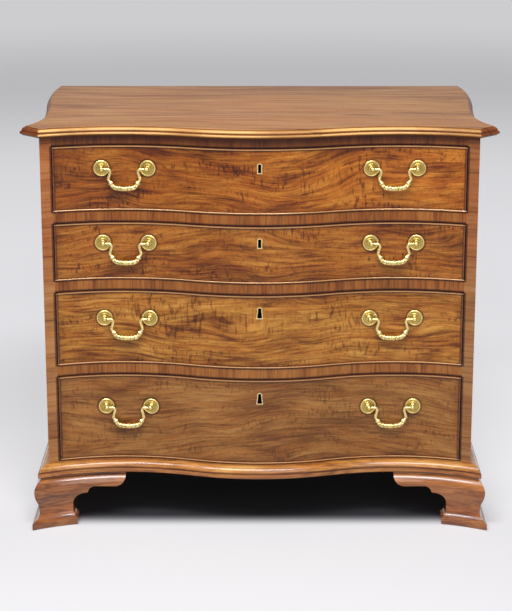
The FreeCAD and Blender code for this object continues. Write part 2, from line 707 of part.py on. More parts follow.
def scroll_board(name, plane, along, turn, place, length):
    """The scroll outline sawn through, across the chest or along it."""
    body = doc.addObject("PartDesign::Body", name)
    body.setExpression(f"Placement.Base.{'y' if plane == 'XZ_Plane' else 'x'}", place)
    sketch = sketch_on(body, f"{name}_line", plane)
    scroll(sketch, along, turn)
    pad = body.newObject("PartDesign::Pad", f"{name}_pad")
    pad.Profile = sketch
    pad.setExpression("Length", length)
    return body


saw_front = scroll_board("saw_front", "XZ_Plane", lambda q: f"Setout.half - ({q})", 1,
                         "Setout.back_y + Sizes.waste", "Sizes.case_depth + Sizes.waste * 4")
saw_side = scroll_board("saw_side", "YZ_Plane", lambda q: f"Setout.back_y - ({q})", 1,
                        "Setout.half - Sizes.waste", "Sizes.waste * 3")
saw_return = scroll_board("saw_return", "YZ_Plane", lambda q: f"Setout.corner_y + ({q})", -1,
                          "Setout.half - Sizes.waste", "Sizes.waste * 3")
doc.recompute()
foot_mitre = cutter("foot_mitre", "Setout.mitre_foot")
bracket_front = cut("bracket_front", common("bracket_sawn", foot_turn, saw_front), foot_mitre)
bracket_return = common("bracket_return", foot_side, saw_return, foot_mitre)
block_x = ("Setout.half - Sizes.foot_inner - Sizes.foot_block", "Setout.half - Sizes.foot_inner")
block_z = ("4", H)
derive("block_in", "outer_run - Sizes.foot_inner - Sizes.foot_block")
derive("block_y", "y_out + sqrt((radius_out + Sizes.foot_inner) ^ 2 - block_in ^ 2) + 0.3")
block_front = box("block_front", block_x, ("Setout.block_y", "Setout.block_y + Sizes.foot_block"), block_z)
foot = node(group("foot_right", bracket_front, bracket_return, block_front), "front_right_foot")
node(mirror("foot_left", foot), "front_left_foot")
rear_limit = box("rear_limit", ("Setout.half - Sizes.waste", "Setout.half + Sizes.waste"),
                 ("Setout.back_y - Sizes.foot_wing * 2", "Setout.back_y"), ("-5", f"{H} + 5"))
rear_side = common("rear_side", foot_side, saw_side, rear_limit)
REAR_IN = "Setout.back_y - Sizes.rear_set - Sizes.rear_thick"
rear_plate = box("rear_plate", ("Setout.half - Sizes.rear_reach", "Setout.half - Sizes.foot_inner"),
                 (REAR_IN, "Setout.back_y - Sizes.rear_set"), ("0", H))
rear_back = common("rear_back", rear_plate, saw_front)
rear_block = box("rear_block", block_x, (f"{REAR_IN} - Sizes.foot_block", REAR_IN), block_z)
rear_right = group("rear_right", rear_side, rear_back, rear_block)
node(group("rear_set", rear_right, mirror("rear_left", rear_right)), "rear_feet")
doc.recompute()

# Handles: turned post, cast rosette, nut, and one bail shape for all eight
def turned_part(name, points):
    """A turning about its own Z axis."""
    body = doc.addObject("PartDesign::Body", name)
    sketch = sketch_on(body, f"{name}_section", "XZ_Plane")
    outline(sketch, points)
    spin = body.newObject("PartDesign::Revolution", f"{name}_spin")
    spin.Profile = sketch
    spin.ReferenceAxis = (sketch, ["V_Axis"])
    spin.Angle = 360
    doc.recompute()
    return body


SEAT = "0.35"
R = "Sizes.rosette"
rosette = turned_part("rosette", [
    ("Sizes.shank + 0.1", SEAT),
    (R, SEAT),
    (R, "1.6"),
    (f"{R} * 0.78", "1.9", f"{R} * 0.125"),
    (f"{R} * 0.74", "1.3"),
    (f"{R} * 0.6", "1.5"),
    (f"{R} * 0.46", "2.4", f"{R} * 0.105"),
    (f"{R} * 0.36", "2.2"),
    (f"{R} * 0.3", "Sizes.hub_high"),
    ("Sizes.shank + 0.1", "Sizes.hub_high"),
])
post = turned_part("post", [
    ("0", "-Sizes.front_thick - 5"),
    ("Sizes.shank", "-Sizes.front_thick - 5"),
    ("Sizes.shank", "Sizes.hub_high + 0.1"),
    ("Sizes.ball * 0.85", "Sizes.hub_high + 0.1"),
    ("Sizes.ball * 0.62", "Sizes.hub_high + 1.7", "-3.2"),
    ("Sizes.ball * 0.6", "Sizes.post_high - Sizes.ball * 0.8"),
    ("0", "Sizes.post_high + Sizes.ball", "Sizes.ball"),
])
nut = turned_part("nut", [
    ("Sizes.shank + 0.05", "-Sizes.front_thick - 3.5"),
    ("Sizes.nut", "-Sizes.front_thick - 3.5"),
    ("Sizes.nut", "-Sizes.front_thick - 0.05"),
    ("Sizes.shank + 0.05", "-Sizes.front_thick - 0.05"),
])


def stand(x, z):
    """Where a post stands on the front: its foot, its outward normal and the placement that turns Z to it."""
    spot, normal = front_place(x)
    spot.z = z
    return spot, normal, FreeCAD.Placement(spot, FreeCAD.Rotation(Vector(0, 0, 1), normal))


def pivot_ends(side, z):
    """The centres of the two post heads of one handle, from left to right."""
    reach = side * val("Sizes.handle_reach")
    heads = []
    for shift in (-0.5, 0.5):
        spot, normal, _ = stand(reach + shift * val("Sizes.boring"), z)
        heads.append(spot + normal * val("Sizes.post_high"))
    return heads


def bar(start, stop, radius):
    """A straight round bar between two points."""
    return Part.makeCylinder(radius, (stop - start).Length, start, stop - start)


def elbow(centre, start, sweep, radius):
    """A round bar bent in the XZ plane about a centre, through a signed angle in degrees."""
    reach = (start - centre).normalize()
    ring = Part.Circle(start, reach.cross(Vector(0, 1, 0)), radius)
    disc = Part.Face(Part.Wire(ring.toShape()))
    return disc.revolve(centre, Vector(0, -1, 0), sweep)


def bail_shape():
    """A swan-neck bail in its own XZ plane, its pivot along X: an arm that turns down and out to a
    knuckle, a leg that turns in again to a leaf collar, and a bowed grip with a knop in the middle."""
    left, right = pivot_ends(1, 0)
    half = (right - left).Length / 2
    neck = val("Sizes.bail_neck")
    grip = val("Sizes.bail_grip")
    leaf = val("Sizes.bail_leaf")
    knop = val("Sizes.bail_knop")
    bow = val("Sizes.bail_bow")
    corner = val("Sizes.bail_corner")
    curl = val("Sizes.bail_curl")
    middle = Vector(0, 0, -val("Sizes.bail_drop"))
    bow_centre = middle + Vector(0, 0, bow)
    bow_turn = math.asin(val("Sizes.bail_flat") / bow)
    bow_end = bow_centre + Vector(math.sin(bow_turn), 0, -math.cos(bow_turn)) * bow
    corner_centre = bow_centre + (bow_end - bow_centre) * (1 - corner / bow)
    leg_degrees = val("Sizes.bail_leg")
    leg_turn = math.radians(leg_degrees)
    leg = Vector(math.cos(leg_turn), 0, math.sin(leg_turn))
    corner_end = corner_centre + Vector(leg.z, 0, -leg.x) * corner
    knee = corner_end + leg * ((-val("Sizes.bail_knee") - corner_end.z) / leg.z)
    bend = Vector(half - val("Sizes.bail_inset"), 0, -curl)
    span = (knee - bend).Length
    away = (knee - bend) / span
    inward = Vector(away.z, 0, -away.x)
    share = curl / span
    turned = bend + (away * share + inward * math.sqrt(1 - share ** 2)) * curl
    top = Vector(bend.x, 0, 0)
    neck_turn = math.degrees(math.atan2(bend.x - turned.x, turned.z - bend.z))
    collar = knee + (corner_end - knee) * 0.6
    pieces = [
        bar(Vector(half - val("Sizes.bail_pin"), 0, 0), top, neck),
        elbow(bend, top, neck_turn, neck),
        bar(turned, knee, neck),
        Part.makeSphere(neck * 1.2, knee),
        bar(knee, collar, neck * 0.95),
        Part.makeCone(leaf, neck * 0.9, leaf * 0.9, collar, leg),
        Part.makeCone(leaf, grip * 0.9, leaf * 0.8, collar, -leg),
        bar(collar, corner_end, grip),
        elbow(corner_centre, bow_end, leg_degrees - math.degrees(bow_turn), grip),
        elbow(bow_centre, middle, math.degrees(bow_turn), grip),
        Part.makeCone(knop * 0.9, grip * 0.9, knop * 1.1, middle, Vector(1, 0, 0)),
        Part.makeCylinder(knop, knop * 0.3, middle, Vector(1, 0, 0)),
    ]
    right_side = pieces[0].fuse(pieces[1:])
    left_side = right_side.mirror(Vector(0, 0, 0), Vector(1, 0, 0))
    return right_side.fuse(left_side).removeSplitter()


bail = bail_shape()
doc.recompute()

# Cockbead as long as the front: a round-nosed strip turned about the centre of each arc of the serpentine
derive("turn_in", "asin(Sizes.valley_reach / 2 / radius_in) / 1 deg")
derive("turn_out", "asin(outer_run / radius_out) / 1 deg")


def bead_arc(name, centre, radius, side, start, sweep):
    """The strip along one arc. The side is 1 where the face is outside the arc and -1 where inside."""
    body = doc.addObject("PartDesign::Body", name)
    body.Placement.Rotation = FreeCAD.Rotation(Vector(0, 0, 1), 10)
    body.setExpression("Placement.Base.x", centre[0])
    body.setExpression("Placement.Base.y", centre[1])
    body.setExpression("Placement.Rotation.Angle", start)
    sketch = sketch_on(body, f"{name}_section", "XZ_Plane")
    back = f"{radius} - {side} * Sizes.bead_deep"
    flats = ((0.36, 0), (0.12, 0.12), (0, 0.32), (0, 0.68), (0.12, 0.88), (0.36, 1))
    nose = [(f"{radius} + {side} * (Sizes.bead_proud - Sizes.bead_thick * {behind})",
             f"Sizes.bead_thick * {up}") for behind, up in flats]
    outline(sketch, [(back, "0"), *nose, (back, "Sizes.bead_thick")])
    spin = body.newObject("PartDesign::Revolution", f"{name}_spin")
    spin.Profile = sketch
    spin.ReferenceAxis = (sketch, ["V_Axis"])
    spin.setExpression("Angle", sweep)
    doc.recompute()
    return body


REACH = "Sizes.valley_reach"
bead_swell = bead_arc("bead_swell", ("0", "Setout.y_bulge"), "Setout.radius_in", 1,
                      "270 - Setout.turn_in", "2 * Setout.turn_in")
bead_hollow = bead_arc("bead_hollow", (REACH, "Setout.y_in"), "Setout.radius_in", -1, "90", "Setout.turn_in")
bead_outer = bead_arc("bead_outer", (REACH, "Setout.y_out"), "Setout.radius_out", -1,
                      "90 - Setout.turn_out", "Setout.turn_out")
bead_right = [bead_hollow, bead_outer]
bead_left = [mirror(f"{piece.Name}_left", piece) for piece in bead_right]
bead_x = ("-Setout.drawer_half", "Setout.drawer_half")
bead_ends = box("bead_ends", bead_x, ANY_Y, ("-5", "Sizes.bead_thick + 5"))
bead_run = common("bead_run", fuse("bead_whole", bead_swell, *bead_right, *bead_left), bead_ends)
doc.recompute()

# Drawers
for n in (1, 2, 3, 4):
    level = f"Setout.level_{n}"
    front_low = f"{level} + Sizes.fit_bottom"
    front_high = f"{level} + Sizes.opening_{n} - Sizes.fit_top"
    front_x = ("-Setout.drawer_half", "Setout.drawer_half")
    blank = common(f"front_blank_{n}", box(f"front_box_{n}", front_x, ANY_Y, (front_low, front_high)),
                   front_band)

    # Cockbeads: two long strips and two upright ones between them, seated in rebates of the front
    seats = [
        box(f"bead_top_{n}", front_x, ANY_Y, (f"{front_high} - Sizes.bead_thick", front_high)),
        box(f"bead_low_{n}", front_x, ANY_Y, (front_low, f"{front_low} + Sizes.bead_thick")),
    ]
    beads = []
    for seat in seats:
        strip = group(f"{seat.Name}_strip", bead_run)
        strip.setExpression("Placement.Base.z", f"{seat.Name}.Placement.Base.z")
        beads.append(strip)
    upright_z = (f"{front_low} + Sizes.bead_thick", f"{front_high} - Sizes.bead_thick")
    upright_x = ("Setout.drawer_half - Sizes.bead_thick", "Setout.drawer_half")
    upright = common(f"bead_upright_{n}", box(f"bead_right_{n}", upright_x, ANY_Y, upright_z), bead_band)
    doc.recompute()
    nose = doc.addObject("Part::Fillet", f"bead_nose_{n}")
    nose.Base = upright
    tall = upright.Shape.BoundBox.ZLength - 1
    edges = enumerate(upright.Shape.Edges, start=1)
    lines = [(edge.BoundBox.YMin, index) for index, edge in edges if edge.BoundBox.ZLength > tall]
    soft = val("Sizes.bead_thick") * 0.45
    nose.Edges = [(index, soft, soft) for _, index in sorted(lines)[:2]]
    beads += [nose, mirror(f"bead_left_{n}", nose)]
    seats = [common(f"bead_seat_{n}_{k}", seat, bead_band) for k, seat in enumerate(seats)]
    seats += [upright, mirror(f"bead_seat_{n}_2", upright)]
    node(group(f"beads_{n}", *beads), f"drawer_{n}_cockbead")

    # Sides and back, dovetailed: tails on the sides, lapped at the front and through at the back
    panel_low = f"{level} + Sizes.run_gap + Sizes.panel_lift"
    panel_high = f"{panel_low} + Sizes.panel_thick"
    side_low = f"{level} + Sizes.run_gap"
    side_high = f"{front_high} - Sizes.side_lower"
    lining_x = ("Setout.drawer_half - Sizes.lining", "Setout.drawer_half")
    lining = box(f"lining_{n}", lining_x, ("Setout.lap_y", "Setout.drawer_end"), (side_low, side_high))
    back_y = ("Setout.drawer_end - Sizes.lining", "Setout.drawer_end")
    back_board = box(f"back_blank_{n}", front_x, back_y, (panel_high, f"{side_high} - 6"))
    count = 3 if n < 3 else 4
    front_tails = []
    back_tails = []
    for k in range(count):
        pitch = f"(Sizes.opening_{n} - Sizes.fit_top - Sizes.side_lower) / {count}"
        middle = f"{side_low} + ({pitch}) * {k + 0.5}"
        half = f"({pitch}) * 0.37"
        wide = (f"{middle} - {half}", f"{middle} + {half}")
        slim = (f"{middle} - {half} + Sizes.tail_slope", f"{middle} + {half} - Sizes.tail_slope")
        tail_y = ("Setout.lap_y", "Setout.lap_y + Sizes.tail_long")
        front_tails.append(wedge(f"tail_{n}_{k}", lining_x, tail_y, wide, slim))
        half = f"({pitch}) * 0.34"
        back_wide = (f"{middle} - {half}", f"{middle} + {half}")
        back_slim = (f"{middle} - {half} + Sizes.back_slope", f"{middle} + {half} - Sizes.back_slope")
        back_tails.append(wedge(f"back_tail_{n}_{k}", lining_x, back_y, back_slim, back_wide))
    pins = cut(f"pins_{n}", blank, group(f"tails_{n}", *front_tails))
    back_pins = cut(f"back_pins_{n}", back_board, group(f"back_tails_{n}", *back_tails))
    panel_x = "Setout.drawer_half - Sizes.lining + Sizes.groove"
    panel = common(f"panel_{n}", box(f"panel_blank_{n}", (f"-({panel_x})", panel_x),
                                     ("Setout.corner_y - 100", "Setout.drawer_end - 1"),
                                     (panel_low, panel_high)), panel_edge)
    node(panel, f"drawer_{n}_bottom")
    side = cut(f"side_{n}", lining, pins, back_pins, panel)
    other = mirror(f"side_other_{n}", side)
    node(group(f"sides_{n}", side, other), f"drawer_{n}_sides")
    node(cut(f"back_{n}", back_board, side, other), f"drawer_{n}_back")

    # Lock: case, selvedge and back plate, let into a recess that is open to the back and the top
    lock_back = "Setout.face_y + Sizes.front_thick"
    lock_x = ("-Sizes.lock_wide / 2", "Sizes.lock_wide / 2")
    plate_x = ("-Sizes.lock_wide / 2 - Sizes.plate_lap", "Sizes.lock_wide / 2 + Sizes.plate_lap")
    lock_low = f"{front_high} - Sizes.lock_high"
    lock_boxes = (
        ("case", lock_x, "Sizes.lock_thick", lock_low),
        ("selvedge", plate_x, "Sizes.lock_thick", f"{front_high} - Sizes.plate_thick"),
        ("plate", plate_x, "Sizes.plate_thick", f"{lock_low} - Sizes.plate_lap"),
    )
    metal = []
    pockets = []
    for name, wide, deep, low in lock_boxes:
        start = f"{lock_back} - {deep}"
        metal.append(box(f"lock_{name}_{n}", wide, (start, lock_back), (low, front_high)))
        pockets.append(box(f"lock_pocket_{name}_{n}", wide, (start, f"{lock_back} + 8"), (low, front_high)))
    body = fuse(f"lock_body_{n}", *metal)
    recess = fuse(f"lock_recess_{n}", *pockets)
    bolt_x = ("-Sizes.bolt_wide / 2", "Sizes.bolt_wide / 2")
    bolt_y = (f"{BOLT_Y} - Sizes.bolt_thick / 2", f"{BOLT_Y} + Sizes.bolt_thick / 2")
    bolt_z = (f"{front_high} - Sizes.bolt_long", f"{front_high} - 0.2")
    bolt = box(f"bolt_{n}", bolt_x, bolt_y, bolt_z)
    node(bolt, f"drawer_{n}_lock_bolt")
    slot = box(f"bolt_slot_{n}", (f"{bolt_x[0]} - Sizes.bolt_clear", f"{bolt_x[1]} + Sizes.bolt_clear"),
               (f"{bolt_y[0]} - Sizes.bolt_clear", f"{bolt_y[1]} + Sizes.bolt_clear"),
               (f"{bolt_z[0]} - Sizes.bolt_clear", f"{front_high} + 5"))

    # Escutcheon: a brass keyhole lining; the two lower ones flare into a pear
    key_z = f"{level} + Sizes.opening_{n} - Sizes.key_drop_{n}"
    round_z = f"Sizes.key_tall_{n} / 2 - Sizes.key_head"

    def keyhole(name, inset, depth):
        """The keyhole seen from the front, less the inset: a round head and a skirt."""
        start = "Setout.face_y - 0.4"
        head = doc.addObject("Part::Cylinder", f"{name}_head")
        head.Placement.Rotation = FreeCAD.Rotation(Vector(1, 0, 0), -90)
        head.setExpression("Radius", f"Sizes.key_head - {inset}")
        head.setExpression("Height", depth)
        head.setExpression("Placement.Base.y", start)
        head.setExpression("Placement.Base.z", f"{key_z} + {round_z}")
        skirt = doc.addObject("Part::Wedge", f"{name}_skirt")
        skirt.Placement.Rotation = FreeCAD.Rotation(Vector(1, 0, 0), 90)
        upper = f"(Sizes.key_head - {inset}) * 0.82"
        lower = f"(Sizes.key_foot_{n} / 2 - {inset})"
        for key, size in (("Xmin", f"-{lower}"), ("Xmax", lower), ("X2min", f"-{upper}"), ("X2max", upper),
                          ("Ymin", f"{inset} - Sizes.key_tall_{n} / 2"), ("Ymax", round_z),
                          ("Zmin", f"-({depth})"), ("Z2min", f"-({depth})"), ("Zmax", "0"), ("Z2max", "0"),
                          ("Placement.Base.y", start), ("Placement.Base.z", key_z)):
            skirt.setExpression(key, size)
        return fuse(name, head, skirt)

    lined = keyhole(f"escutcheon_solid_{n}", "0", "Sizes.lining_deep")
    hole = keyhole(f"key_hole_{n}", "Sizes.key_wall", "Sizes.front_thick - 2")
    node(cut(f"escutcheon_{n}", lined, hole), f"drawer_{n}_escutcheon")
    node(cut(f"lock_{n}", body, slot, hole), f"drawer_{n}_lock")
    doc.recompute()

    # Handles: posts, rosettes and nuts on the normals of the front, bails between the post heads
    z = val(f"Setout.level_{n} + Sizes.opening_{n} - Sizes.handle_drop_{n}")
    metal = []
    drills = []
    for side_sign, side_name in ((-1, "left"), (1, "right")):
        first_head, second_head = pivot_ends(side_sign, z)
        axis = (second_head - first_head).normalize()
        hole_radius = val("Sizes.bail_neck + Sizes.pivot_clear")
        for shift, head, inward in ((-0.5, first_head, axis), (0.5, second_head, -axis)):
            spot, normal, turn = stand(side_sign * val("Sizes.handle_reach") + shift * val("Sizes.boring"), z)
            bore = Part.makeCylinder(hole_radius, 12, head - inward, inward)
            metal.append(post.Shape.transformed(turn.toMatrix()).cut(bore))
            metal.append(rosette.Shape.transformed(turn.toMatrix()))
            metal.append(nut.Shape.transformed(turn.toMatrix()))
            deep = val("Sizes.front_thick") + 6
            drill_radius = val("Sizes.shank") + 0.25
            drills.append(Part.makeCylinder(drill_radius, deep + 4, spot - normal * deep, normal))
        swing = doc.addObject("Part::Feature", f"bail_{side_name}_{n}")
        swing.Shape = bail
        middle = (first_head + second_head) / 2
        swing.Placement = FreeCAD.Placement(middle, FreeCAD.Rotation(Vector(1, 0, 0), axis))
        node(swing, f"drawer_{n}_bail_{side_name}")
    posts = doc.addObject("Part::Feature", f"posts_{n}")
    posts.Shape = Part.makeCompound(metal)
    node(posts, f"drawer_{n}_handle_posts")
    drill = doc.addObject("Part::Feature", f"drills_{n}")
    drill.Shape = Part.makeCompound(drills)
    front = cut(f"front_{n}", blank, *seats, side, other, panel, recess, lined, hole, drill)
    node(front, f"drawer_{n}_front")
    doc.recompute()

# Checks, then one file for each piece
doc.recompute()
for item in doc.Objects:
    if "Invalid" in item.State or "Error" in item.State:
        raise RuntimeError(f"{item.Name} failed: {item.State}")
for item in nodes:
    shape = item.Shape
    if shape.isNull() or not shape.isValid() or not shape.Solids:
        raise RuntimeError(f"{item.Label} has no valid solid")
os.makedirs("parts", exist_ok=True)
for item in nodes:
    item.Shape.exportStep(f"parts/{item.Label}.step")
print(len(nodes), "pieces", sum(len(item.Shape.Solids) for item in nodes), "solids")
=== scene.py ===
import json
import math

import bpy
import numpy as np
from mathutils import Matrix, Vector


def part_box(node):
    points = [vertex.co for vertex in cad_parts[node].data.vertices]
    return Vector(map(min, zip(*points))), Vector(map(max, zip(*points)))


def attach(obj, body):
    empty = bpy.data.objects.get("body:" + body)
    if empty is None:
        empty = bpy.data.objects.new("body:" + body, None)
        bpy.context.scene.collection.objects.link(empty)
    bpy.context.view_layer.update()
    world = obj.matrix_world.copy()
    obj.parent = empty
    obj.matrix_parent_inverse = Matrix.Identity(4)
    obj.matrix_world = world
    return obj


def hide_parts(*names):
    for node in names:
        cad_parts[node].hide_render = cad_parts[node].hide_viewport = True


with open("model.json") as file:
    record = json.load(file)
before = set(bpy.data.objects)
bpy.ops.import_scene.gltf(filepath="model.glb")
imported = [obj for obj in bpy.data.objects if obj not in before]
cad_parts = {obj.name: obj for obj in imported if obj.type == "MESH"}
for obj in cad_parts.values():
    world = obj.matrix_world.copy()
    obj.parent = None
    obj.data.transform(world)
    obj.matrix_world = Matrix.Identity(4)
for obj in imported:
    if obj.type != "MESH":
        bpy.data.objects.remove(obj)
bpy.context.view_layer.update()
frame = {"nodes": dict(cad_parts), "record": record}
bpy.context.scene.view_settings.view_transform = "Standard"

# Ogee bracket feet: thick brackets sawn from solid mahogany, shaped with moulding planes,
# mitred at the corners and backed by glue blocks. The grain runs along each bracket, and the joint
# with the moulding above is a dark line. The lowest few centimetres are darkened with painted shade
# of the gap by the floor, together with floor dust.


def shade(red, green, blue):
    """A colour as it looks on screen, 0 to 255, turned into the linear numbers that a shader takes."""
    return tuple(((part / 255 + 0.055) / 1.055) ** 2.4 for part in (red, green, blue)) + (1.0,)


def put(tree, kind, *values, out=0, **options):
    """Adds one node. Options are its settings, and values fill its sockets in order: a number, a colour,
    or another node's output. None leaves a socket as it is. The wanted output comes back."""
    node = tree.nodes.new("ShaderNode" + kind)
    for option, value in options.items():
        setattr(node, option, value)
    for socket, value in zip(node.inputs, values):
        if isinstance(value, bpy.types.NodeSocket):
            tree.links.new(value, socket)
        elif value is not None:
            socket.default_value = value
    return node.outputs[out]


def sums(tree, how, first, second=0.0, third=None):
    """One step of arithmetic on up to three node outputs or numbers."""
    return put(tree, "Math", first, second, third, operation=how)


def rise(tree, value, low, high, start=0.0, end=1.0):
    """A smooth climb from start, where the value is low, to end, where it is high."""
    return put(tree, "MapRange", value, low, high, start, end, interpolation_type="SMOOTHSTEP")


def fade(tree, value, low, high, amount=1.0):
    """A smooth fall from an amount, where the value is low, to nothing, where it is high."""
    return rise(tree, value, low, high, amount, 0.0)


def lay(tree, amount, under, over, how="MIX"):
    """One colour laid over another, as a glaze is, by an amount from 0 to 1. The node's sockets for plain
    numbers and vectors, five of them, are skipped."""
    skipped = [None] * 5
    return put(tree, "Mix", amount, *skipped, under, over, out=2, data_type="RGBA", blend_type=how)


def own_place(tree):
    """Where a point lies in the piece's own coordinates, which are also the frame's."""
    return tree.nodes.new("ShaderNodeTexCoord").outputs["Object"]


def own_axes(tree):
    """The piece's own coordinates taken apart, by the names X, Y and Z."""
    return put(tree, "SeparateXYZ", own_place(tree)).node.outputs


def board_axes(tree, along, across):
    """The piece's own coordinates in the wood's order: along the grain, across it, and into the board."""
    parts = own_axes(tree)
    into = ({"X", "Y", "Z"} - {along, across}).pop()
    return put(tree, "CombineXYZ", parts[along], parts[across], parts[into])


def cloud(tree, place, stretch, seed, detail=2.0, rough=0.5, twist=0.0):
    """Soft noise stretched by its own number of cells a metre along each axis. The seed moves it elsewhere,
    and the twist curls it."""
    moved = put(tree, "Mapping", place, (seed * 1.7, seed * 2.3, seed * 3.1), None, stretch)
    return put(tree, "TexNoise", moved, None, 1.0, detail, rough, None, None, None, twist)


def ramp(tree, value, stops):
    """Colours spread over the value, one colour at each stop."""
    spread = put(tree, "ValToRGB", value)
    band_of_colours = spread.node.color_ramp
    while len(band_of_colours.elements) < len(stops):
        band_of_colours.elements.new(1.0)
    for element, (position, colour) in zip(band_of_colours.elements, stops):
        element.position = position
        element.color = colour
    return spread


def new_finish(name):
    """A named material with its node tree and main shader."""
    finish = bpy.data.materials.new(name)
    finish.use_nodes = True
    return finish, finish.node_tree, finish.node_tree.nodes["Principled BSDF"]


def mahogany(name, along, across, seed, tones, figure=(13.0, 185.0), sway=0.12, mottle=1.0, depth=0.0,
             rough=0.3, shine=0.3, polish=0.0, polish_rough=0.09):
    """Waxed mahogany. The figure gives the cells a metre along and across the grain, and depth how much it
    changes into the board. The tone adds two clouds, fine streaks bent by a slow sway and broad drifts.
    A red blush, thin dark veins, clumps of short cross flecks, dots between the clumps and open pores are
    glazed over it, and the pores and streaks raise the bump and dull the wax. Polish is a clear coat."""
    finish, tree, shader = new_finish(name)
    dark, middle, light, fleck_tone = tones
    long, cross = figure
    grain = board_axes(tree, along, across)
    grain = put(tree, "VectorMath", grain, (1.0, 1.0, depth), operation="MULTIPLY")
    wander = cloud(tree, grain, (2.6, 5.0, 3.0), seed)
    shift = sums(tree, "MULTIPLY_ADD", wander, sway, -sway / 2)
    bent = put(tree, "VectorMath", grain, put(tree, "CombineXYZ", 0.0, shift, 0.0), operation="ADD")
    streaks = cloud(tree, bent, (long, cross, cross), seed + 3, 6.0, 0.7, 0.5)
    broad = cloud(tree, bent, (long * 0.45, cross * 0.13, cross * 0.2), seed + 7, 3.0, 0.6, 0.5)
    tone = sums(tree, "MULTIPLY_ADD", broad, 0.4, sums(tree, "MULTIPLY", streaks, 0.6))
    colour = ramp(tree, tone, ((0.4, dark), (0.5, middle), (0.61, light)))
    reddening = cloud(tree, bent, (long * 0.8, cross * 0.3, cross * 0.3), seed + 29, 3.0)
    blush_tint = (0.94, 0.78, 0.64, 1)
    colour = lay(tree, rise(tree, reddening, 0.42, 0.62, end=0.7), colour, blush_tint, "MULTIPLY")
    threads = cloud(tree, bent, (long, cross * 1.5, cross * 1.5), seed + 13, 3.0, 0.5, 0.6)
    colour = lay(tree, rise(tree, threads, 0.56, 0.7, end=0.5), colour, fleck_tone, "MULTIPLY")
    dashes = rise(tree, cloud(tree, bent, (210.0, 75.0, 60.0), seed + 17), 0.5, 0.66)
    clumps = rise(tree, cloud(tree, bent, (9.0, 24.0, 12.0), seed + 19, 3.0), 0.46, 0.62)
    flecks = sums(tree, "MULTIPLY", sums(tree, "MULTIPLY", dashes, clumps), mottle)
    colour = lay(tree, flecks, colour, fleck_tone, "MULTIPLY")
    dots = rise(tree, cloud(tree, bent, (150.0, 190.0, 90.0), seed + 41), 0.52, 0.68, end=0.45 * mottle)
    between_clumps = sums(tree, "SUBTRACT", 1.0, clumps)
    colour = lay(tree, sums(tree, "MULTIPLY", dots, between_clumps), colour, fleck_tone, "MULTIPLY")
    pores = rise(tree, cloud(tree, bent, (60.0, 1100.0, 500.0), seed + 23, 1.0), 0.58, 0.7)
    colour = lay(tree, sums(tree, "MULTIPLY", pores, 0.25), colour, fleck_tone, "MULTIPLY")
    tree.links.new(colour, shader.inputs["Base Color"])
    dull = sums(tree, "MULTIPLY_ADD", pores, 0.1, rise(tree, streaks, 0.3, 0.7, rough + 0.05, rough - 0.04))
    tree.links.new(dull, shader.inputs["Roughness"])
    height = sums(tree, "MULTIPLY_ADD", pores, -0.5, sums(tree, "MULTIPLY", streaks, 0.6))
    tree.links.new(put(tree, "Bump", 0.1, 0.0004, None, height), shader.inputs["Normal"])
    shader.inputs["Specular IOR Level"].default_value = shine
    shader.inputs["Coat Weight"].default_value = polish
    shader.inputs["Coat Roughness"].default_value = polish_rough
    return finish, tree, shader


def glaze(tree, shader, amount, tint, how="MULTIPLY"):
    """Grime or wear laid over the colour that the shader already has."""
    socket = shader.inputs["Base Color"]
    tree.links.new(lay(tree, amount, socket.links[0].from_socket, tint, how), socket)


def dress(finish, *nodes):
    """Gives a finish to the solids that stay as they are."""
    for node in nodes:
        for slot in frame["nodes"][node].material_slots:
            slot.material = finish


foot_tones = (shade(96, 47, 17), shade(153, 89, 36), shade(188, 119, 56), (0.45, 0.34, 0.28, 1))
foot_mahogany, tree, shader = mahogany("foot_mahogany", "X", "Z", 5, foot_tones, figure=(7.0, 130.0),
                                       sway=0.05, mottle=0.1, depth=0.4, rough=0.24, shine=0.25,
                                       polish=1.0, polish_rough=0.11)
level = own_axes(tree)["Z"]
foot_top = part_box("front_left_foot")[1][2]
dust_and_shade_height, floor_dust_and_shade, joint_dark = 0.03, (0.5, 0.42, 0.38, 1), (0.2, 0.12, 0.08, 1)
# Painted shade of the gap by the floor, with floor dust: darker towards the floor.
glaze(tree, shader, fade(tree, level, 0.0, dust_and_shade_height, 0.55), floor_dust_and_shade)
glaze(tree, shader, rise(tree, level, foot_top - 0.003, foot_top - 0.001, end=0.9), joint_dark)
dress(foot_mahogany, "front_left_foot", "front_right_foot", "rear_feet")

# Base moulding: a mahogany strip worked to an upright fascia, a quirk, a thumb and a fillet, bent
# round the serpentine front and mitred to straight returns on the sides. It is glued over the joint
# of the case and the feet. Heights on it run from 0 at its lower edge to 1 at its upper edge.


def band(tree, value, start, full, last, end, amount=1.0):
    """A smooth band: nothing at start, the amount from full to last, and nothing again at end."""
    return sums(tree, "MULTIPLY", rise(tree, value, start, full), fade(tree, value, last, end, amount))


moulding_tones = (shade(136, 80, 28), shade(190, 128, 56), shade(216, 160, 84), (0.45, 0.34, 0.26, 1))
moulding_mahogany, tree, shader = mahogany("moulding_mahogany", "X", "Z", 9, moulding_tones,
                                           figure=(6.0, 200.0), sway=0.02, mottle=0.1, depth=0.5,
                                           rough=0.24, polish=0.7)
low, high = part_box("base_mouldings")
climb = put(tree, "MapRange", own_axes(tree)["Z"], low[2], high[2])
fascia_tint, quirk_shade, gap_shade_tint = (0.8, 0.7, 0.62, 1), (0.3, 0.18, 0.12, 1), (0.4, 0.28, 0.2, 1)
glaze(tree, shader, fade(tree, climb, 0.36, 0.42), fascia_tint)
# Painted shade in the quirk.
glaze(tree, shader, band(tree, climb, 0.35, 0.38, 0.47, 0.51, 0.9), quirk_shade)
glaze(tree, shader, fade(tree, climb, 0.03, 0.1, 0.9), joint_dark)
# Painted shade at the top edge, in the gap under the bottom drawer.
glaze(tree, shader, rise(tree, climb, 0.9, 0.95, end=0.6), gap_shade_tint)
dress(moulding_mahogany, "base_mouldings")

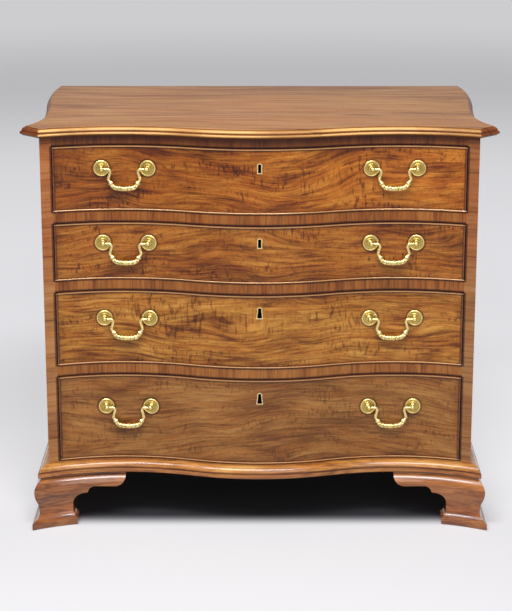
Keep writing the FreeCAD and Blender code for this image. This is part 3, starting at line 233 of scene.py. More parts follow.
# Case sides: wide mahogany boards with the grain upright, dovetailed to the bottom, housed for the
# dividers and runners, and waxed.
side_tones = (shade(108, 56, 24), shade(156, 92, 42), shade(184, 118, 58), (0.45, 0.34, 0.28, 1))
side_mahogany, *_ = mahogany("side_mahogany", "Z", "Y", 13, side_tones, figure=(4.0, 90.0), sway=0.035,
                             mottle=0.35)
dress(side_mahogany, "side_panel_left", "side_panel_right")

# Bottom board, runners, kickers and dustboards: oak left from the plane, dry and a little grey with
# dust, housed or glued inside the case where nobody waxes it.


def bare_wood(name, along, across, seed, tones, rough=0.62):
    """Unpolished oak or pine. Long lines and a slow drift give the tone, fine pores darken it, and short
    pale flecks lie along the grain."""
    finish, tree, shader = new_finish(name)
    dark, middle, light = tones
    grain = board_axes(tree, along, across)
    streaks = cloud(tree, grain, (2.2, 70.0, 40.0), seed, 5.0, 0.6)
    drift = cloud(tree, grain, (2.0, 5.0, 4.0), seed + 2)
    tone = sums(tree, "MULTIPLY_ADD", streaks, 0.6, sums(tree, "MULTIPLY", drift, 0.4))
    colour = ramp(tree, tone, ((0.36, dark), (0.5, middle), (0.63, light)))
    pores = rise(tree, cloud(tree, grain, (70.0, 900.0, 400.0), seed + 5, 1.0), 0.56, 0.66)
    colour = lay(tree, sums(tree, "MULTIPLY", pores, 0.5), colour, dark)
    rays = rise(tree, cloud(tree, grain, (60.0, 240.0, 40.0), seed + 8, 1.0), 0.62, 0.7, end=0.35)
    colour = lay(tree, rays, colour, light)
    tree.links.new(colour, shader.inputs["Base Color"])
    tree.links.new(rise(tree, streaks, 0.3, 0.7, rough + 0.1, rough - 0.08), shader.inputs["Roughness"])
    height = sums(tree, "MULTIPLY_ADD", pores, -0.7, streaks)
    tree.links.new(put(tree, "Bump", 0.2, 0.0005, None, height), shader.inputs["Normal"])
    return finish, tree, shader


oak_tones = (shade(96, 68, 42), shade(146, 110, 72), shade(176, 140, 98))
inner_oak, *_ = bare_wood("inner_oak", "Y", "X", 21, oak_tones)
dress(inner_oak, "drawer_runners")
board_oak, *_ = bare_wood("board_oak", "X", "Y", 27, oak_tones)
dress(board_oak, "bottom_board", "dustboards")

# Dividers and top rail: oak or pine rails faced with mahogany laid crosswise, so that short upright
# streaks run from bead to bead. They follow the serpentine and are housed in the sides. Both edges
# are darkened with painted shade of the gaps beside the drawers, and the top rail has painted shade
# under the overhang, deepest at its top.
rail_tones = (shade(118, 64, 25), shade(158, 95, 43), shade(182, 116, 57), (0.5, 0.38, 0.3, 1))
rail_glazes = {"top_rail": (0.95, 0.9, 0.85, 1), "drawer_divider_1": (0.77, 0.74, 0.65, 1),
               "drawer_divider_2": (0.82, 0.83, 0.78, 1), "drawer_divider_3": (0.88, 0.94, 0.95, 1)}
gap_shade_black, edge_shade_brown, overhang_dark = (0.16, 0.1, 0.07, 1), (0.25, 0.17, 0.12, 1), (0.3, 0.18, 0.15, 1)
lower_gap_shade, upper_gap_shade, overhang_gap = 0.0042, 0.003, 0.004
for count, rail in enumerate(rail_glazes):
    finish, tree, shader = mahogany(rail + "_crossband", "Z", "X", 31 + 5 * count, rail_tones,
                                    figure=(12.0, 210.0), sway=0.004, mottle=0.0)
    low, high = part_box(rail)
    level = own_axes(tree)["Z"]
    glaze(tree, shader, 1.0, rail_glazes[rail])
    # Painted shade of the gaps along both edges.
    glaze(tree, shader, fade(tree, level, low[2] + 0.001, low[2] + lower_gap_shade, 0.9), gap_shade_black)
    glaze(tree, shader, rise(tree, level, high[2] - upper_gap_shade, high[2] - 0.0005, end=0.7), edge_shade_brown)
    if rail == "top_rail":
        # Painted shade under the top's overhang, deepest at the top of the rail.
        glaze(tree, shader, rise(tree, level, low[2], high[2] - overhang_gap, 0.35, 1.0), overhang_dark)
    dress(finish, rail)

# Front stiles: strips of cross-grained mahogany glued to the front edges of the sides. The grain runs
# out to the corner, and short lengths of it meet in fine open joints. The inner edge beside the drawers
# is darkened with painted shade of the gaps, and the top with painted shade under the overhang. The
# upper part is redder, and the right stile is darker.


def off_middle(tree, value, middle=0.0):
    """How far a value lies from a middle, on either side of it."""
    return sums(tree, "ABSOLUTE", sums(tree, "SUBTRACT", value, middle))


stile_tones = (shade(134, 84, 44), shade(165, 113, 65), shade(184, 131, 80), (0.62, 0.52, 0.44, 1))
stile_mahogany, tree, shader = mahogany("stile_mahogany", "X", "Z", 57, stile_tones, figure=(10.0, 210.0),
                                        sway=0.004, mottle=0.1)
spot = own_axes(tree)
stile_width, joints_a_metre, shaded_top = 0.022, 11.0, 0.014
to_joint = put(tree, "TexVoronoi", None, spot["Z"], joints_a_metre, voronoi_dimensions="1D",
               feature="DISTANCE_TO_EDGE")
glaze(tree, shader, fade(tree, to_joint, 0.006, 0.016, 0.6), (0.3, 0.22, 0.17, 1))
stile_outside, _, stile_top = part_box("front_stiles")[1]
stile_inside = stile_outside - stile_width
inner_edge = fade(tree, off_middle(tree, spot["X"]), stile_inside + 0.0018, stile_inside + 0.005, 0.94)
beside_drawer = 0.0
for number in (1, 2, 3, 4):
    low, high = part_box(f"drawer_{number}_cockbead")
    beside = band(tree, spot["Z"], low[2] - 0.002, low[2] - 0.001, high[2] + 0.001, high[2] + 0.002)
    beside_drawer = sums(tree, "MAXIMUM", beside_drawer, beside)
upper_red, right_dark, stile_shade = (0.93, 0.72, 0.65, 1), (0.84, 0.88, 0.95, 1), (0.32, 0.22, 0.18, 1)
# Painted shade of the gaps along the inner edge beside the drawers.
glaze(tree, shader, sums(tree, "MULTIPLY", inner_edge, beside_drawer), gap_shade_black)
glaze(tree, shader, rise(tree, spot["Z"], 0.46, 0.62), upper_red)
glaze(tree, shader, rise(tree, spot["X"], -0.1, 0.1), right_dark)
# Painted shade under the top's overhang.
glaze(tree, shader, rise(tree, spot["Z"], stile_top - shaded_top, stile_top - 0.001, end=0.85), stile_shade)
dress(stile_mahogany, "front_stiles")

# Back boards: four upright pine boards nailed into the rebates, never polished, browned by air and
# dust, each of its own tone and a little darker along the joints.
pine_tones = (shade(118, 76, 42), shade(170, 118, 68), shade(202, 154, 100))
back_pine, tree, shader = bare_wood("back_pine", "Z", "X", 43, pine_tones, rough=0.7)
low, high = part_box("back_boards")
board_count = 4.0
across_back = put(tree, "MapRange", own_axes(tree)["X"], low[0], high[0])
boards_over = sums(tree, "MULTIPLY", across_back, board_count)
board_tone = put(tree, "TexWhiteNoise", None, sums(tree, "FLOOR", boards_over), noise_dimensions="1D")
glaze(tree, shader, board_tone, (0.78, 0.72, 0.66, 1))
from_joint = off_middle(tree, sums(tree, "FRACT", sums(tree, "ADD", boards_over, 0.5)), 0.5)
glaze(tree, shader, fade(tree, from_joint, 0.004, 0.012, 0.8), (0.3, 0.24, 0.2, 1))
dress(back_pine, "back_boards")

# Top: one board veneered with figured mahogany whose grain runs from end to end, its eared front
# sawn to the serpentine and its edge worked to a reed, a quirk and a thumb. The edge is darkened with
# painted shade and carries painted highlights on the reed and thumb, uneven along it and none at the
# ears, with painted shade in the quirk and at its foot, and a red painted shade at the ears. Heights on
# the edge run from 0 below to 1 above.
top_tones = (shade(134, 82, 34), shade(170, 113, 54), shade(188, 133, 70), (0.62, 0.5, 0.42, 1))
top_mahogany, tree, shader = mahogany("top_mahogany", "X", "Y", 67, top_tones, figure=(4.0, 60.0), sway=0.1,
                                      mottle=0.25, depth=0.2, rough=0.34, shine=0.2)
low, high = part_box("top_board")
spot = own_axes(tree)
climb = put(tree, "MapRange", spot["Z"], low[2], high[2])
edge = fade(tree, climb, 0.95, 0.985)
reed = band(tree, climb, 0.16, 0.3, 0.38, 0.47)
quirk = band(tree, climb, 0.44, 0.49, 0.54, 0.6, 0.8)
thumb = band(tree, climb, 0.6, 0.72, 0.82, 0.93)
highlight_cloud = cloud(tree, own_place(tree), (7.0, 7.0, 7.0), 71, 3.0)
ear_start, ear_end = 0.431, 0.437
ear = rise(tree, off_middle(tree, spot["X"]), ear_start, ear_end)
highlight_amount = sums(tree, "MULTIPLY", rise(tree, highlight_cloud, 0.35, 0.65, 0.35, 0.95), sums(tree, "SUBTRACT", 1.0, ear))
painted_highlight = sums(tree, "MULTIPLY", sums(tree, "ADD", reed, thumb), highlight_amount)
edge_shade, highlight_tone, ear_shade_red = (0.6, 0.5, 0.42, 1), shade(238, 186, 118), (0.86, 0.62, 0.66, 1)
# Painted shade over the edge, painted highlights on the reed and thumb, red painted shade at the ears.
glaze(tree, shader, sums(tree, "MULTIPLY", edge, 0.8), edge_shade)
glaze(tree, shader, painted_highlight, highlight_tone, "MIX")
glaze(tree, shader, sums(tree, "MULTIPLY", edge, ear), ear_shade_red)
# Painted shade in the quirk and at the foot of the edge.
glaze(tree, shader, quirk, (0.45, 0.34, 0.26, 1))
glaze(tree, shader, fade(tree, climb, 0.04, 0.18, 0.8), (0.35, 0.26, 0.2, 1))
dress(top_mahogany, "top_board")

# Drawer linings: thin oak sides and backs dovetailed together, with an oak bottom slid into grooves
# from behind. They are left bare and are cleaner than the case's inside.
lining_tones = (shade(118, 86, 52), shade(168, 130, 84), shade(196, 160, 112))
side_oak, *_ = bare_wood("side_oak", "Y", "Z", 53, lining_tones, rough=0.58)
back_oak, *_ = bare_wood("back_oak", "X", "Z", 59, lining_tones, rough=0.58)
panel_oak, *_ = bare_wood("panel_oak", "X", "Y", 61, lining_tones, rough=0.6)
for number in (1, 2, 3, 4):
    dress(side_oak, f"drawer_{number}_sides")
    dress(back_oak, f"drawer_{number}_back")
    dress(panel_oak, f"drawer_{number}_bottom")

# Drawer fronts: pine bricks or thick boards sawn to the serpentine and veneered with figured mahogany,
# long lines with clumps of dark cross flecks. Grime has settled near the beads, a narrow band right beside
# them is darkened with painted shade of the crease, and the ring round each rosette is grime with painted
# shade. The wood inside the keyholes is painted black as shade, and the left of the top drawer has
# darkened.
front_tones = {
    1: (shade(98, 44, 10), shade(165, 95, 28), shade(202, 132, 50), (0.34, 0.24, 0.2, 1)),
    2: (shade(96, 46, 12), shade(156, 93, 31), shade(190, 128, 54), (0.34, 0.25, 0.2, 1)),
    3: (shade(106, 54, 14), shade(168, 109, 41), shade(202, 146, 67), (0.36, 0.27, 0.22, 1)),
    4: (shade(106, 64, 27), shade(147, 97, 47), shade(174, 123, 65), (0.4, 0.32, 0.27, 1)),
}
front_mottle = {1: 1.0, 2: 0.95, 3: 0.85, 4: 0.65}
edge_grime, handle_grime_and_shade = (0.5, 0.4, 0.34, 1), (0.3, 0.22, 0.18, 1)
keyhole_shade_black, left_dark = (0.02, 0.015, 0.012, 1), (0.75, 0.7, 0.7, 1)
bead_shade_reach, grime_reach, rosette_edge, halo_reach = 0.0062, 0.024, 0.0168, 0.022
bail_hinges = {joint["name"]: joint for joint in frame["record"]["behaviour"]["joints"]}
boring = 0.092


def from_posts(tree, number):
    """Distance on the face of a drawer from the nearest handle post: the square root of the offset along
    the front squared plus the offset up squared. The two handles are alike, so one pair of posts does."""
    reach, _, level = (abs(place) for place in bail_hinges[f"drawer_{number}_left_bail_hinge"]["pos_m"])
    spot = own_axes(tree)
    aside = off_middle(tree, spot["X"])
    drop = sums(tree, "SUBTRACT", spot["Z"], level)
    drop_squared = sums(tree, "MULTIPLY", drop, drop)
    rings = []
    for post in (reach - boring / 2, reach + boring / 2):
        along = sums(tree, "SUBTRACT", aside, post)
        rings.append(sums(tree, "SQRT", sums(tree, "MULTIPLY_ADD", along, along, drop_squared)))
    return sums(tree, "MINIMUM", *rings)


for number in (1, 2, 3, 4):
    front = f"drawer_{number}_front"
    veneer, tree, shader = mahogany(f"front_{number}_veneer", "X", "Z", 80 + 9 * number, front_tones[number],
                                    mottle=front_mottle[number])
    low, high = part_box(front)
    spot = own_axes(tree)
    aside = off_middle(tree, spot["X"])
    above = off_middle(tree, spot["Z"], (low[2] + high[2]) / 2)
    to_end = sums(tree, "SUBTRACT", high[0], aside)
    to_edge = sums(tree, "SUBTRACT", (high[2] - low[2]) / 2, above)
    to_bead = sums(tree, "MINIMUM", to_end, to_edge)
    # Painted shade in the crease beside the bead.
    glaze(tree, shader, fade(tree, to_bead, 0.0035, bead_shade_reach, 0.7), edge_shade_brown)
    settled = rise(tree, cloud(tree, own_place(tree), (14.0, 14.0, 14.0), number, 3.0), 0.3, 0.65)
    near_bead = fade(tree, to_bead, 0.003, grime_reach, 0.6)
    glaze(tree, shader, sums(tree, "MULTIPLY", near_bead, settled), edge_grime)
    # Grime and painted shade in a ring round each rosette.
    glaze(tree, shader, fade(tree, from_posts(tree, number), rosette_edge, halo_reach, 0.85), handle_grime_and_shade)
    hole_low, hole_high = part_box(f"drawer_{number}_escutcheon")
    hole_half = (hole_high[2] - hole_low[2]) / 2
    to_hole = off_middle(tree, spot["Z"], (hole_low[2] + hole_high[2]) / 2)
    in_hole = sums(tree, "MULTIPLY", fade(tree, aside, hole_high[0], hole_high[0] + 0.001),
                   fade(tree, to_hole, hole_half, hole_half + 0.001))
    behind_lining = rise(tree, spot["Y"], hole_low[1] + 0.003, hole_low[1] + 0.004)
    # Painted shade: the wood inside the keyhole is painted black.
    glaze(tree, shader, sums(tree, "MULTIPLY", in_hole, behind_lining), keyhole_shade_black)
    if number == 1:
        glaze(tree, shader, fade(tree, spot["X"], -0.12, 0.1, 0.95), left_dark)
    dress(veneer, front)

# Cockbeads: thin mahogany strips with a rounded nose, glued round the edges of each front so that the
# nose stands proud. The upper and lower noses carry painted highlights, the upper strip is darkened with
# painted shade from the rail above and is duller, and the ends are darker.
bead_tones = (shade(90, 40, 14), shade(132, 68, 28), shade(162, 92, 42), (0.5, 0.36, 0.28, 1))
upper_shade_tint, nose_highlight_tone, end_tint = (0.55, 0.48, 0.42, 1), shade(202, 150, 94), (0.5, 0.4, 0.42, 1)
warm_shine = (1.0, 0.84, 0.6, 1)
upper_nose, lower_nose, nose_half = 0.0018, 0.0024, 0.0012
for number in (1, 2, 3, 4):
    bead = f"drawer_{number}_cockbead"
    bead_mahogany, tree, shader = mahogany(bead + "_mahogany", "X", "Z", 141, bead_tones,
                                           figure=(6.0, 120.0), sway=0.01, mottle=0.1, depth=0.6,
                                           rough=0.2, shine=1.0)
    low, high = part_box(bead)
    spot = own_axes(tree)
    upper = rise(tree, spot["Z"], high[2] - 0.008, high[2] - 0.005)
    # Painted shade on the upper strip, under the rail above.
    glaze(tree, shader, upper, upper_shade_tint)
    to_upper = off_middle(tree, spot["Z"], high[2] - upper_nose)
    to_lower = off_middle(tree, spot["Z"], low[2] + lower_nose)
    # Painted highlights along the upper and lower noses.
    nose_highlight = fade(tree, sums(tree, "MINIMUM", to_upper, to_lower), 0.0003, nose_half, 0.85)
    glaze(tree, shader, nose_highlight, nose_highlight_tone, "MIX")
    at_end = rise(tree, off_middle(tree, spot["X"]), high[0] - 0.0045, high[0] - 0.0035)
    glaze(tree, shader, at_end, end_tint)
    waxed = shader.inputs["Roughness"].links[0].from_socket
    tree.links.new(sums(tree, "MULTIPLY_ADD", upper, 0.4, waxed), shader.inputs["Roughness"])
    shader.inputs["Specular Tint"].default_value = warm_shine
    dress(bead_mahogany, bead)

# Locks: a brass-plated case let into the back of each front, with an iron bolt that shoots up into
# the rail. The plate and selvedge are dull and scratched, the case behind them is painted black as the
# shade seen through the keyhole, and the bolt is filed bright and then oiled.


def old_metal(name, tones, rough, seed, tarnish_amount=0.5):
    """Worn metal. Slow clouds move the colour between bright and tarnished, fine scratches raise the
    bump, and the tarnish dulls the shine."""
    finish, tree, shader = new_finish(name)
    bright, tarnished = tones
    place = own_place(tree)
    drift = cloud(tree, place, (60.0, 60.0, 60.0), seed, 4.0, 0.6)
    spots = rise(tree, cloud(tree, place, (320.0, 320.0, 320.0), seed + 4, 3.0), 0.55, 0.72)
    tarnish = sums(tree, "MULTIPLY_ADD", spots, 0.3, rise(tree, drift, 0.35, 0.7, end=tarnish_amount))
    tree.links.new(lay(tree, tarnish, bright, tarnished), shader.inputs["Base Color"])
    tree.links.new(rise(tree, tarnish, 0.0, 0.9, rough, rough + 0.22), shader.inputs["Roughness"])
    scratches = cloud(tree, place, (900.0, 900.0, 2600.0), seed + 9)
    tree.links.new(put(tree, "Bump", 0.08, 0.0002, None, scratches), shader.inputs["Normal"])
    shader.inputs["Metallic"].default_value = 1.0
    return finish, tree, shader


iron_tones = (shade(132, 130, 128), shade(78, 72, 68))
lock_tones = (shade(188, 160, 92), shade(112, 92, 56))
case_shade_black = (0.012, 0.01, 0.009, 1)
bolt_iron, *_ = old_metal("bolt_iron", iron_tones, 0.42, 6)
for number in (1, 2, 3, 4):
    lock = f"drawer_{number}_lock"
    lock_brass, tree, shader = old_metal(lock + "_brass", lock_tones, 0.38, 3 * number)
    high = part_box(lock)[1]
    spot = own_axes(tree)
    before_plate = fade(tree, spot["Y"], high[1] - 0.0022, high[1] - 0.0016)
    below_selvedge = fade(tree, spot["Z"], high[2] - 0.004, high[2] - 0.003)
    # Painted shade: the case behind the plate is painted black.
    glaze(tree, shader, sums(tree, "MULTIPLY", before_plate, below_selvedge), case_shade_black)
    dress(lock_brass, lock)
    dress(bolt_iron, f"drawer_{number}_lock_bolt")

# Keyhole linings: cast brass bushes driven into the keyholes and filed flush with the veneer, rubbed
# pale by fingers and keys in front and painted black inside as shade.
lining_brass = (shade(244, 220, 164), shade(196, 166, 108))
rubbed_brass, tree, shader = old_metal("rubbed_brass", lining_brass, 0.34, 12)
lining_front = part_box("drawer_1_escutcheon")[0][1]
# Painted shade: the lining is painted black inside the hole.
inside = rise(tree, own_axes(tree)["Y"], lining_front + 0.0003, lining_front + 0.001, end=0.98)
glaze(tree, shader, inside, (0.03, 0.025, 0.02, 1))
dress(rubbed_brass, *(f"drawer_{number}_escutcheon" for number in (1, 2, 3, 4)))

# Handle posts and rosettes: cast rosettes turned with a rim, a dish and a collar, held by bolts whose
# round heads carry the bail. The dish keeps olive tarnish and the rim is polished bright.
rosette_tones, olive_tarnish = (shade(240, 218, 146), shade(188, 160, 82)), (0.58, 0.53, 0.34, 1)
for number in (1, 2, 3, 4):
    rosette_brass, tree, shader = old_metal(f"rosette_brass_{number}", rosette_tones, 0.26, 20 + number,
                                            tarnish_amount=0.35)
    dish = band(tree, from_posts(tree, number), 0.0052, 0.0066, 0.0112, 0.0132, 0.9)
    glaze(tree, shader, dish, olive_tarnish)
    dress(rosette_brass, f"drawer_{number}_handle_posts")

# Bails: cast swan-neck bails. A plain arm turns down from the post and out to a knuckle, then a leaf
# collar opens into a grip of lapped leaves with a band of three ribs in the middle. The castings
# were chased and lacquered, and tarnish stays in the hollows.
neck, grip, leaf, knop = 0.0024, 0.0041, 0.0049, 0.0061
curl_radius, arm_inset, pin_gap = 0.005, 0.0125, 0.0012
knee_level, grip_level = -0.0203, -0.0395
bow_radius, flat_reach, corner_radius = 0.09, 0.0165, 0.011
leg_turn = math.radians(58)
leaf_length, leaf_rise, leaf_sink = 0.0082, 0.0008, 0.0003
groove_depth, groove_lift, groove_sway = 0.0012, 0.0006, 0.35
flare_length, flare_height, flare_lobes = 0.0018, 0.00035, 6
middle_rib, side_rib, rib_spacing = 0.0009, 0.0006, 0.0028
steps_along, steps_around, smoothing_reach = 260, 40, 11


def arc(centre, radius, start, end, count=24):
    """Points on a circle in the bail's plane: centre plus radius times the cosine and sine of the turn."""
    turn = np.linspace(start, end, count)
    return np.stack([centre[0] + radius * np.cos(turn), centre[1] + radius * np.sin(turn)], 1)


def bail_path(half):
    """The middle line of the whole bail, from pin to pin, with the even steps along its right half and the
    distances along it of the knuckle and the collar. Straight runs and arcs are joined, set at even steps
    and smoothed by a short moving average, which rounds the knuckle."""
    bow_centre = np.array([0.0, grip_level + bow_radius])
    bow_turn = math.asin(flat_reach / bow_radius)
    bow_end = bow_centre + bow_radius * np.array([math.sin(bow_turn), -math.cos(bow_turn)])
    corner_centre = bow_centre + (bow_end - bow_centre) * (1 - corner_radius / bow_radius)
    leg = np.array([math.cos(leg_turn), math.sin(leg_turn)])
    corner_end = corner_centre + corner_radius * np.array([leg[1], -leg[0]])
    knee = corner_end + leg * (knee_level - corner_end[1]) / leg[1]
    bend = np.array([half - arm_inset, -curl_radius])
    away = knee - bend
    neck_turn = math.atan2(away[1], away[0]) - math.acos(curl_radius / np.linalg.norm(away)) + 2 * math.pi
    pin = np.array([[half - pin_gap, 0.0]])
    quarter = math.pi / 2
    points = np.concatenate([pin, arc(bend, curl_radius, quarter, neck_turn), knee[None],
                             arc(corner_centre, corner_radius, leg_turn - quarter, bow_turn - quarter),
                             arc(bow_centre, bow_radius, bow_turn - quarter, -quarter)])
    apart = np.r_[True, np.linalg.norm(np.diff(points, axis=0), axis=1) > 1e-7]
    points = points[apart]
    far = np.r_[0, np.cumsum(np.linalg.norm(np.diff(points, axis=0), axis=1))]
    knuckle = far[np.argmin(np.linalg.norm(points - knee, axis=1))]
    collar = knuckle + 0.6 * np.linalg.norm(corner_end - knee)
    along = np.linspace(0, far[-1], steps_along)
    line = np.stack([np.interp(along, far, points[:, 0]), np.interp(along, far, points[:, 1])], 1)
    whole = np.concatenate([line, (line * [-1, 1])[-2::-1]])
    weights = np.hanning(2 * smoothing_reach + 3)[1:-1]
    weights /= weights.sum()
    before = 2 * whole[0] - whole[smoothing_reach:0:-1]
    after = 2 * whole[-1] - whole[-2:-2 - smoothing_reach:-1]
    padded = np.concatenate([before, whole, after])
    smooth = np.stack([np.convolve(padded[:, axis], weights, "valid") for axis in (0, 1)], 1)
    return smooth, along, knuckle, collar


def bail_surface(half):
    """A ring carried along the bail's line. The radius is the neck's on the arm, swells at the knuckle,
    flares at the collar, and on the grip is cut by four lapped rows of leaves: a groove along each side
    whose edge waves, and steps where one leaf laps the next. Three ribs stand in the middle. It gives
    the points and how deep each lies in a hollow."""
    line, along, knuckle, collar = bail_path(half)
    length = along[-1]
    far = np.concatenate([along, along[-2::-1]])
    around = np.linspace(0, 2 * np.pi, steps_around, endpoint=False)
    stations = [0, 0.006, 0.012, knuckle - 0.005, knuckle, knuckle + 0.0025, collar - 0.003, collar,
                collar + 0.0035, collar + 0.012, length - 0.006, length]
    widths = [neck, neck, neck * 1.25, neck * 1.25, neck * 1.6, neck * 1.25, neck * 1.6, leaf * 1.14,
              grip * 1.1, grip * 1.26, grip * 1.28, grip * 1.26]
    plain = np.interp(far, stations, widths)
    past_collar = far - collar
    from_middle = length - far
    on_grip = np.clip((past_collar - 0.001) / 0.003, 0, 1) * np.clip((from_middle - 0.0042) / 0.0015, 0, 1)
    lap = np.mod(past_collar / leaf_length, 1.0)
    step = on_grip * (leaf_rise * lap ** 1.5 - leaf_sink)
    wave = 0.5 * np.sin(2 * np.pi * past_collar / leaf_length)
    groove = np.cos(2 * (around[None, :] + groove_sway * wave[:, None])) ** 6
    cut = on_grip[:, None] * groove * (groove_depth - groove_lift * lap[:, None])
    flare = np.exp(-(past_collar / flare_length) ** 2)[:, None] * flare_height * np.cos(flare_lobes * around)
    ribs = middle_rib * np.exp(-(from_middle / 0.0011) ** 4)
    ribs += side_rib * np.exp(-((from_middle - rib_spacing) / 0.0009) ** 4)
    radius = np.minimum((plain + step + ribs)[:, None] - cut + flare, knop)
    ahead = np.gradient(line, axis=0)
    ahead /= np.linalg.norm(ahead, axis=1)[:, None]
    beside = np.stack([-ahead[:, 1], ahead[:, 0]], 1)
    x = line[:, 0, None] + radius * np.sin(around) * beside[:, 0, None]
    y = radius * np.cos(around)
    z = line[:, 1, None] + radius * np.sin(around) * beside[:, 1, None]
    hollow = np.clip(cut / 0.0009, 0, 1) + on_grip[:, None] * (lap[:, None] < 0.16) * 0.6
    return np.stack([x, y, z], 2), np.clip(hollow, 0, 1)


def tube_faces(rows, columns):
    """Quads between neighbouring rings, wrapped round, and one flat cap on each end."""
    row, column = np.meshgrid(np.arange(rows - 1), np.arange(columns), indexing="ij")
    after = (column + 1) % columns
    quads = np.stack([row * columns + column, row * columns + after,
                      (row + 1) * columns + after, (row + 1) * columns + column], 2).reshape(-1, 4)
    first = np.arange(columns)[::-1]
    last = np.arange(columns) + (rows - 1) * columns
    return quads.tolist() + [first.tolist(), last.tolist()]


bail_tones = (shade(242, 222, 156), shade(192, 164, 90))
bail_brass, tree, shader = old_metal("bail_brass", bail_tones, 0.26, 33, tarnish_amount=0.3)
hollows = put(tree, "Attribute", out=2, attribute_name="hollow")
glaze(tree, shader, sums(tree, "MULTIPLY", hollows, 0.85), (0.45, 0.38, 0.22, 1))
upward = np.array([0.0, 0.0, 1.0])
for number in (1, 2, 3, 4):
    for side in ("left", "right"):
        node = f"drawer_{number}_bail_{side}"
        body = f"drawer_{number}_{side}_bail"
        hinge = bail_hinges[body + "_hinge"]
        axis = -np.array(hinge["axis"])
        outward = np.cross(axis, upward)
        low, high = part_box(node)
        half = (high[0] - low[0]) / 2 / abs(axis[0]) + pin_gap
        points, hollow = bail_surface(half)
        placed = (np.array(hinge["pos_m"]) + points[..., 0, None] * axis - points[..., 1, None] * outward
                  + points[..., 2, None] * upward)
        mesh = bpy.data.meshes.new(body + "_casting")
        mesh.from_pydata(placed.reshape(-1, 3).tolist(), [], tube_faces(*hollow.shape))
        mesh.polygons.foreach_set("use_smooth", np.ones(len(mesh.polygons), dtype=bool))
        mesh.attributes.new("hollow", "FLOAT", "POINT").data.foreach_set("value", hollow.ravel())
        mesh.materials.append(bail_brass)
        casting = bpy.data.objects.new(body + "_casting", mesh)
        bpy.context.scene.collection.objects.link(casting)
        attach(casting, body)
        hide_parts(node)

# Paper floor: a wide sheet of pale paper that greys with distance, with a painted shadow under the chest,
# between the feet. Seen by the camera, or in metal, it also glows a little; behind and beside the chest,
# more on the right, the glow is painted light that lifts the chest's cast shadow.


def seen(tree):
    """1 where the camera sees it, directly, in metal or through glass, and 0 for light on the chest."""
    ray = put(tree, "LightPath").node.outputs
    direct = sums(tree, "MAXIMUM", ray["Is Camera Ray"], ray["Is Glossy Ray"])
    return sums(tree, "MAXIMUM", direct, ray["Is Transmission Ray"])


floor_half, floor_level = 30, -0.0004
corner_sides = ((-1, -1), (1, -1), (1, 1), (-1, 1))
floor_corners = [(x * floor_half, y * floor_half, floor_level) for x, y in corner_sides]
floor_mesh = bpy.data.meshes.new("paper_floor")
floor_mesh.from_pydata(floor_corners, [], [(0, 1, 2, 3)])
paper, tree, shader = new_finish("pale_paper")
pale, fibre_grey, under_shadow = (0.6, 0.6, 0.625, 1), (0.45, 0.45, 0.47, 1), (0.009, 0.008, 0.014, 1)
place = own_place(tree)
fibres = cloud(tree, place, (500.0, 500.0, 500.0), 2)
paper_colour = lay(tree, sums(tree, "MULTIPLY", fibres, 0.04), pale, fibre_grey)
shader.inputs["Roughness"].default_value = 0.85
shader.inputs["Specular IOR Level"].default_value = 0.1
spot = own_axes(tree)
chest_half, chest_deep = 0.44, 0.24
beyond = sums(tree, "MAXIMUM", sums(tree, "SUBTRACT", off_middle(tree, spot["X"]), chest_half),
              sums(tree, "SUBTRACT", off_middle(tree, spot["Y"]), chest_deep))
# Painted shadow under the chest.
in_shade = fade(tree, beyond, -0.055, 0.015, 0.95)
tree.links.new(lay(tree, in_shade, paper_colour, under_shadow), shader.inputs["Base Color"])
away = put(tree, "VectorMath", place, operation="LENGTH", out=1)
past_front = sums(tree, "MAXIMUM", rise(tree, spot["Y"], -0.32, 0.1), rise(tree, away, 2.2, 4.5))
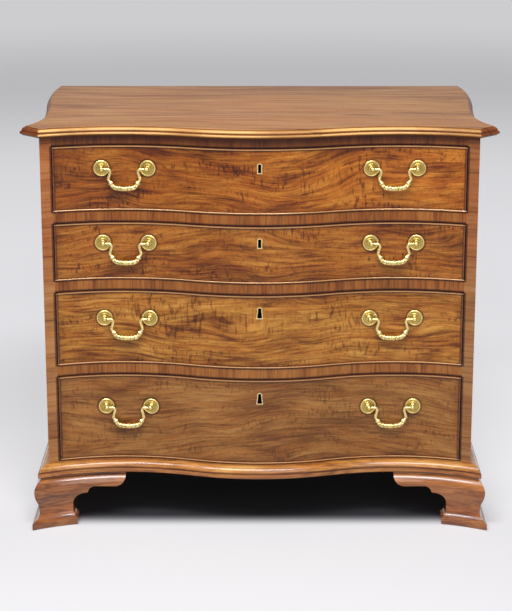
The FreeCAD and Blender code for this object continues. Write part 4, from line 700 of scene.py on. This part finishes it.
# Painted light: glow that lifts the chest's cast shadow behind and beside it, more on the right.
right_shadow_fill = sums(tree, "MULTIPLY", spot["X"], fade(tree, away, 0.8, 1.5, 0.15))
shadow_fill_glow = sums(tree, "MULTIPLY", past_front, sums(tree, "ADD", right_shadow_fill, 0.2))
near_glow = sums(tree, "ADD", shadow_fill_glow, 0.25)
far_glow = sums(tree, "SUBTRACT", rise(tree, away, 1.4, 2.4, end=0.06), rise(tree, away, 3.2, 5.4, end=0.15))
far_glow = sums(tree, "ADD", far_glow, rise(tree, away, 5.4, 8.0, end=0.15))
glow = sums(tree, "MULTIPLY", rise(tree, beyond, -0.035, 0.015), sums(tree, "ADD", near_glow, far_glow))
tree.links.new(sums(tree, "MULTIPLY", seen(tree), glow), shader.inputs["Emission Strength"])
shader.inputs["Emission Color"].default_value = (0.97, 0.97, 1.0, 1)
floor_mesh.materials.append(paper)
floor = bpy.data.objects.new("paper_floor", floor_mesh)
bpy.context.scene.collection.objects.link(floor)

# Studio light: a large soft box and a strip overhead in front, a weaker soft box behind the camera, and a
# surround that is pale to the eye and only a faint light on the chest.
world = bpy.data.worlds.new("studio_surround")
bpy.context.scene.world = world
world.use_nodes = True
tree = world.node_tree
surround_light, surround_seen = 0.14, 0.6
strength = rise(tree, seen(tree), 0.0, 1.0, surround_light, surround_seen)
tree.links.new(strength, tree.nodes["Background"].inputs["Strength"])
tree.nodes["Background"].inputs["Color"].default_value = (0.98, 0.98, 1.0, 1)


def soft_box(name, place, target, width, height, power):
    """A rectangular lamp at a place, turned to face a target."""
    lamp = bpy.data.lights.new(name, "AREA")
    lamp.shape = "RECTANGLE"
    lamp.size = width
    lamp.size_y = height
    lamp.energy = power
    stand = bpy.data.objects.new(name, lamp)
    bpy.context.scene.collection.objects.link(stand)
    stand.location = place
    aim = Vector(target) - Vector(place)
    stand.rotation_euler = aim.to_track_quat("-Z", "Y").to_euler()


soft_box("overhead_soft_box", (-0.5, -1.9, 3.1), (0, -0.1, 0.45), width=3.0, height=2.2, power=52)
soft_box("strip_soft_box", (-0.2, -2.1, 3.2), (0, -0.2, 0.4), width=2.6, height=0.6, power=78)
soft_box("front_soft_box", (0.7, -4.0, 2.0), (0, 0, 0.45), width=2.4, height=1.8, power=32)

# Camera: it stands in front of the chest, above the top, and looks down on it. The lens is long, as
# measured in pixels of the picture's height, and a small shift centres the chest.
sensor, picture_height, lens_pixels, look_down = 36, 611, 1896.5, 15.2
camera_data = bpy.data.cameras.new("camera")
camera = bpy.data.objects.new("camera", camera_data)
bpy.context.scene.collection.objects.link(camera)
camera_data.sensor_width = sensor
camera_data.lens = lens_pixels * sensor / picture_height
camera_data.shift_x = -0.006
camera_data.shift_y = -0.04
camera.location = (0, -3.9, 1.5153)
camera.rotation_euler = (math.radians(90 - look_down), 0, 0)
bpy.context.scene.camera = camera
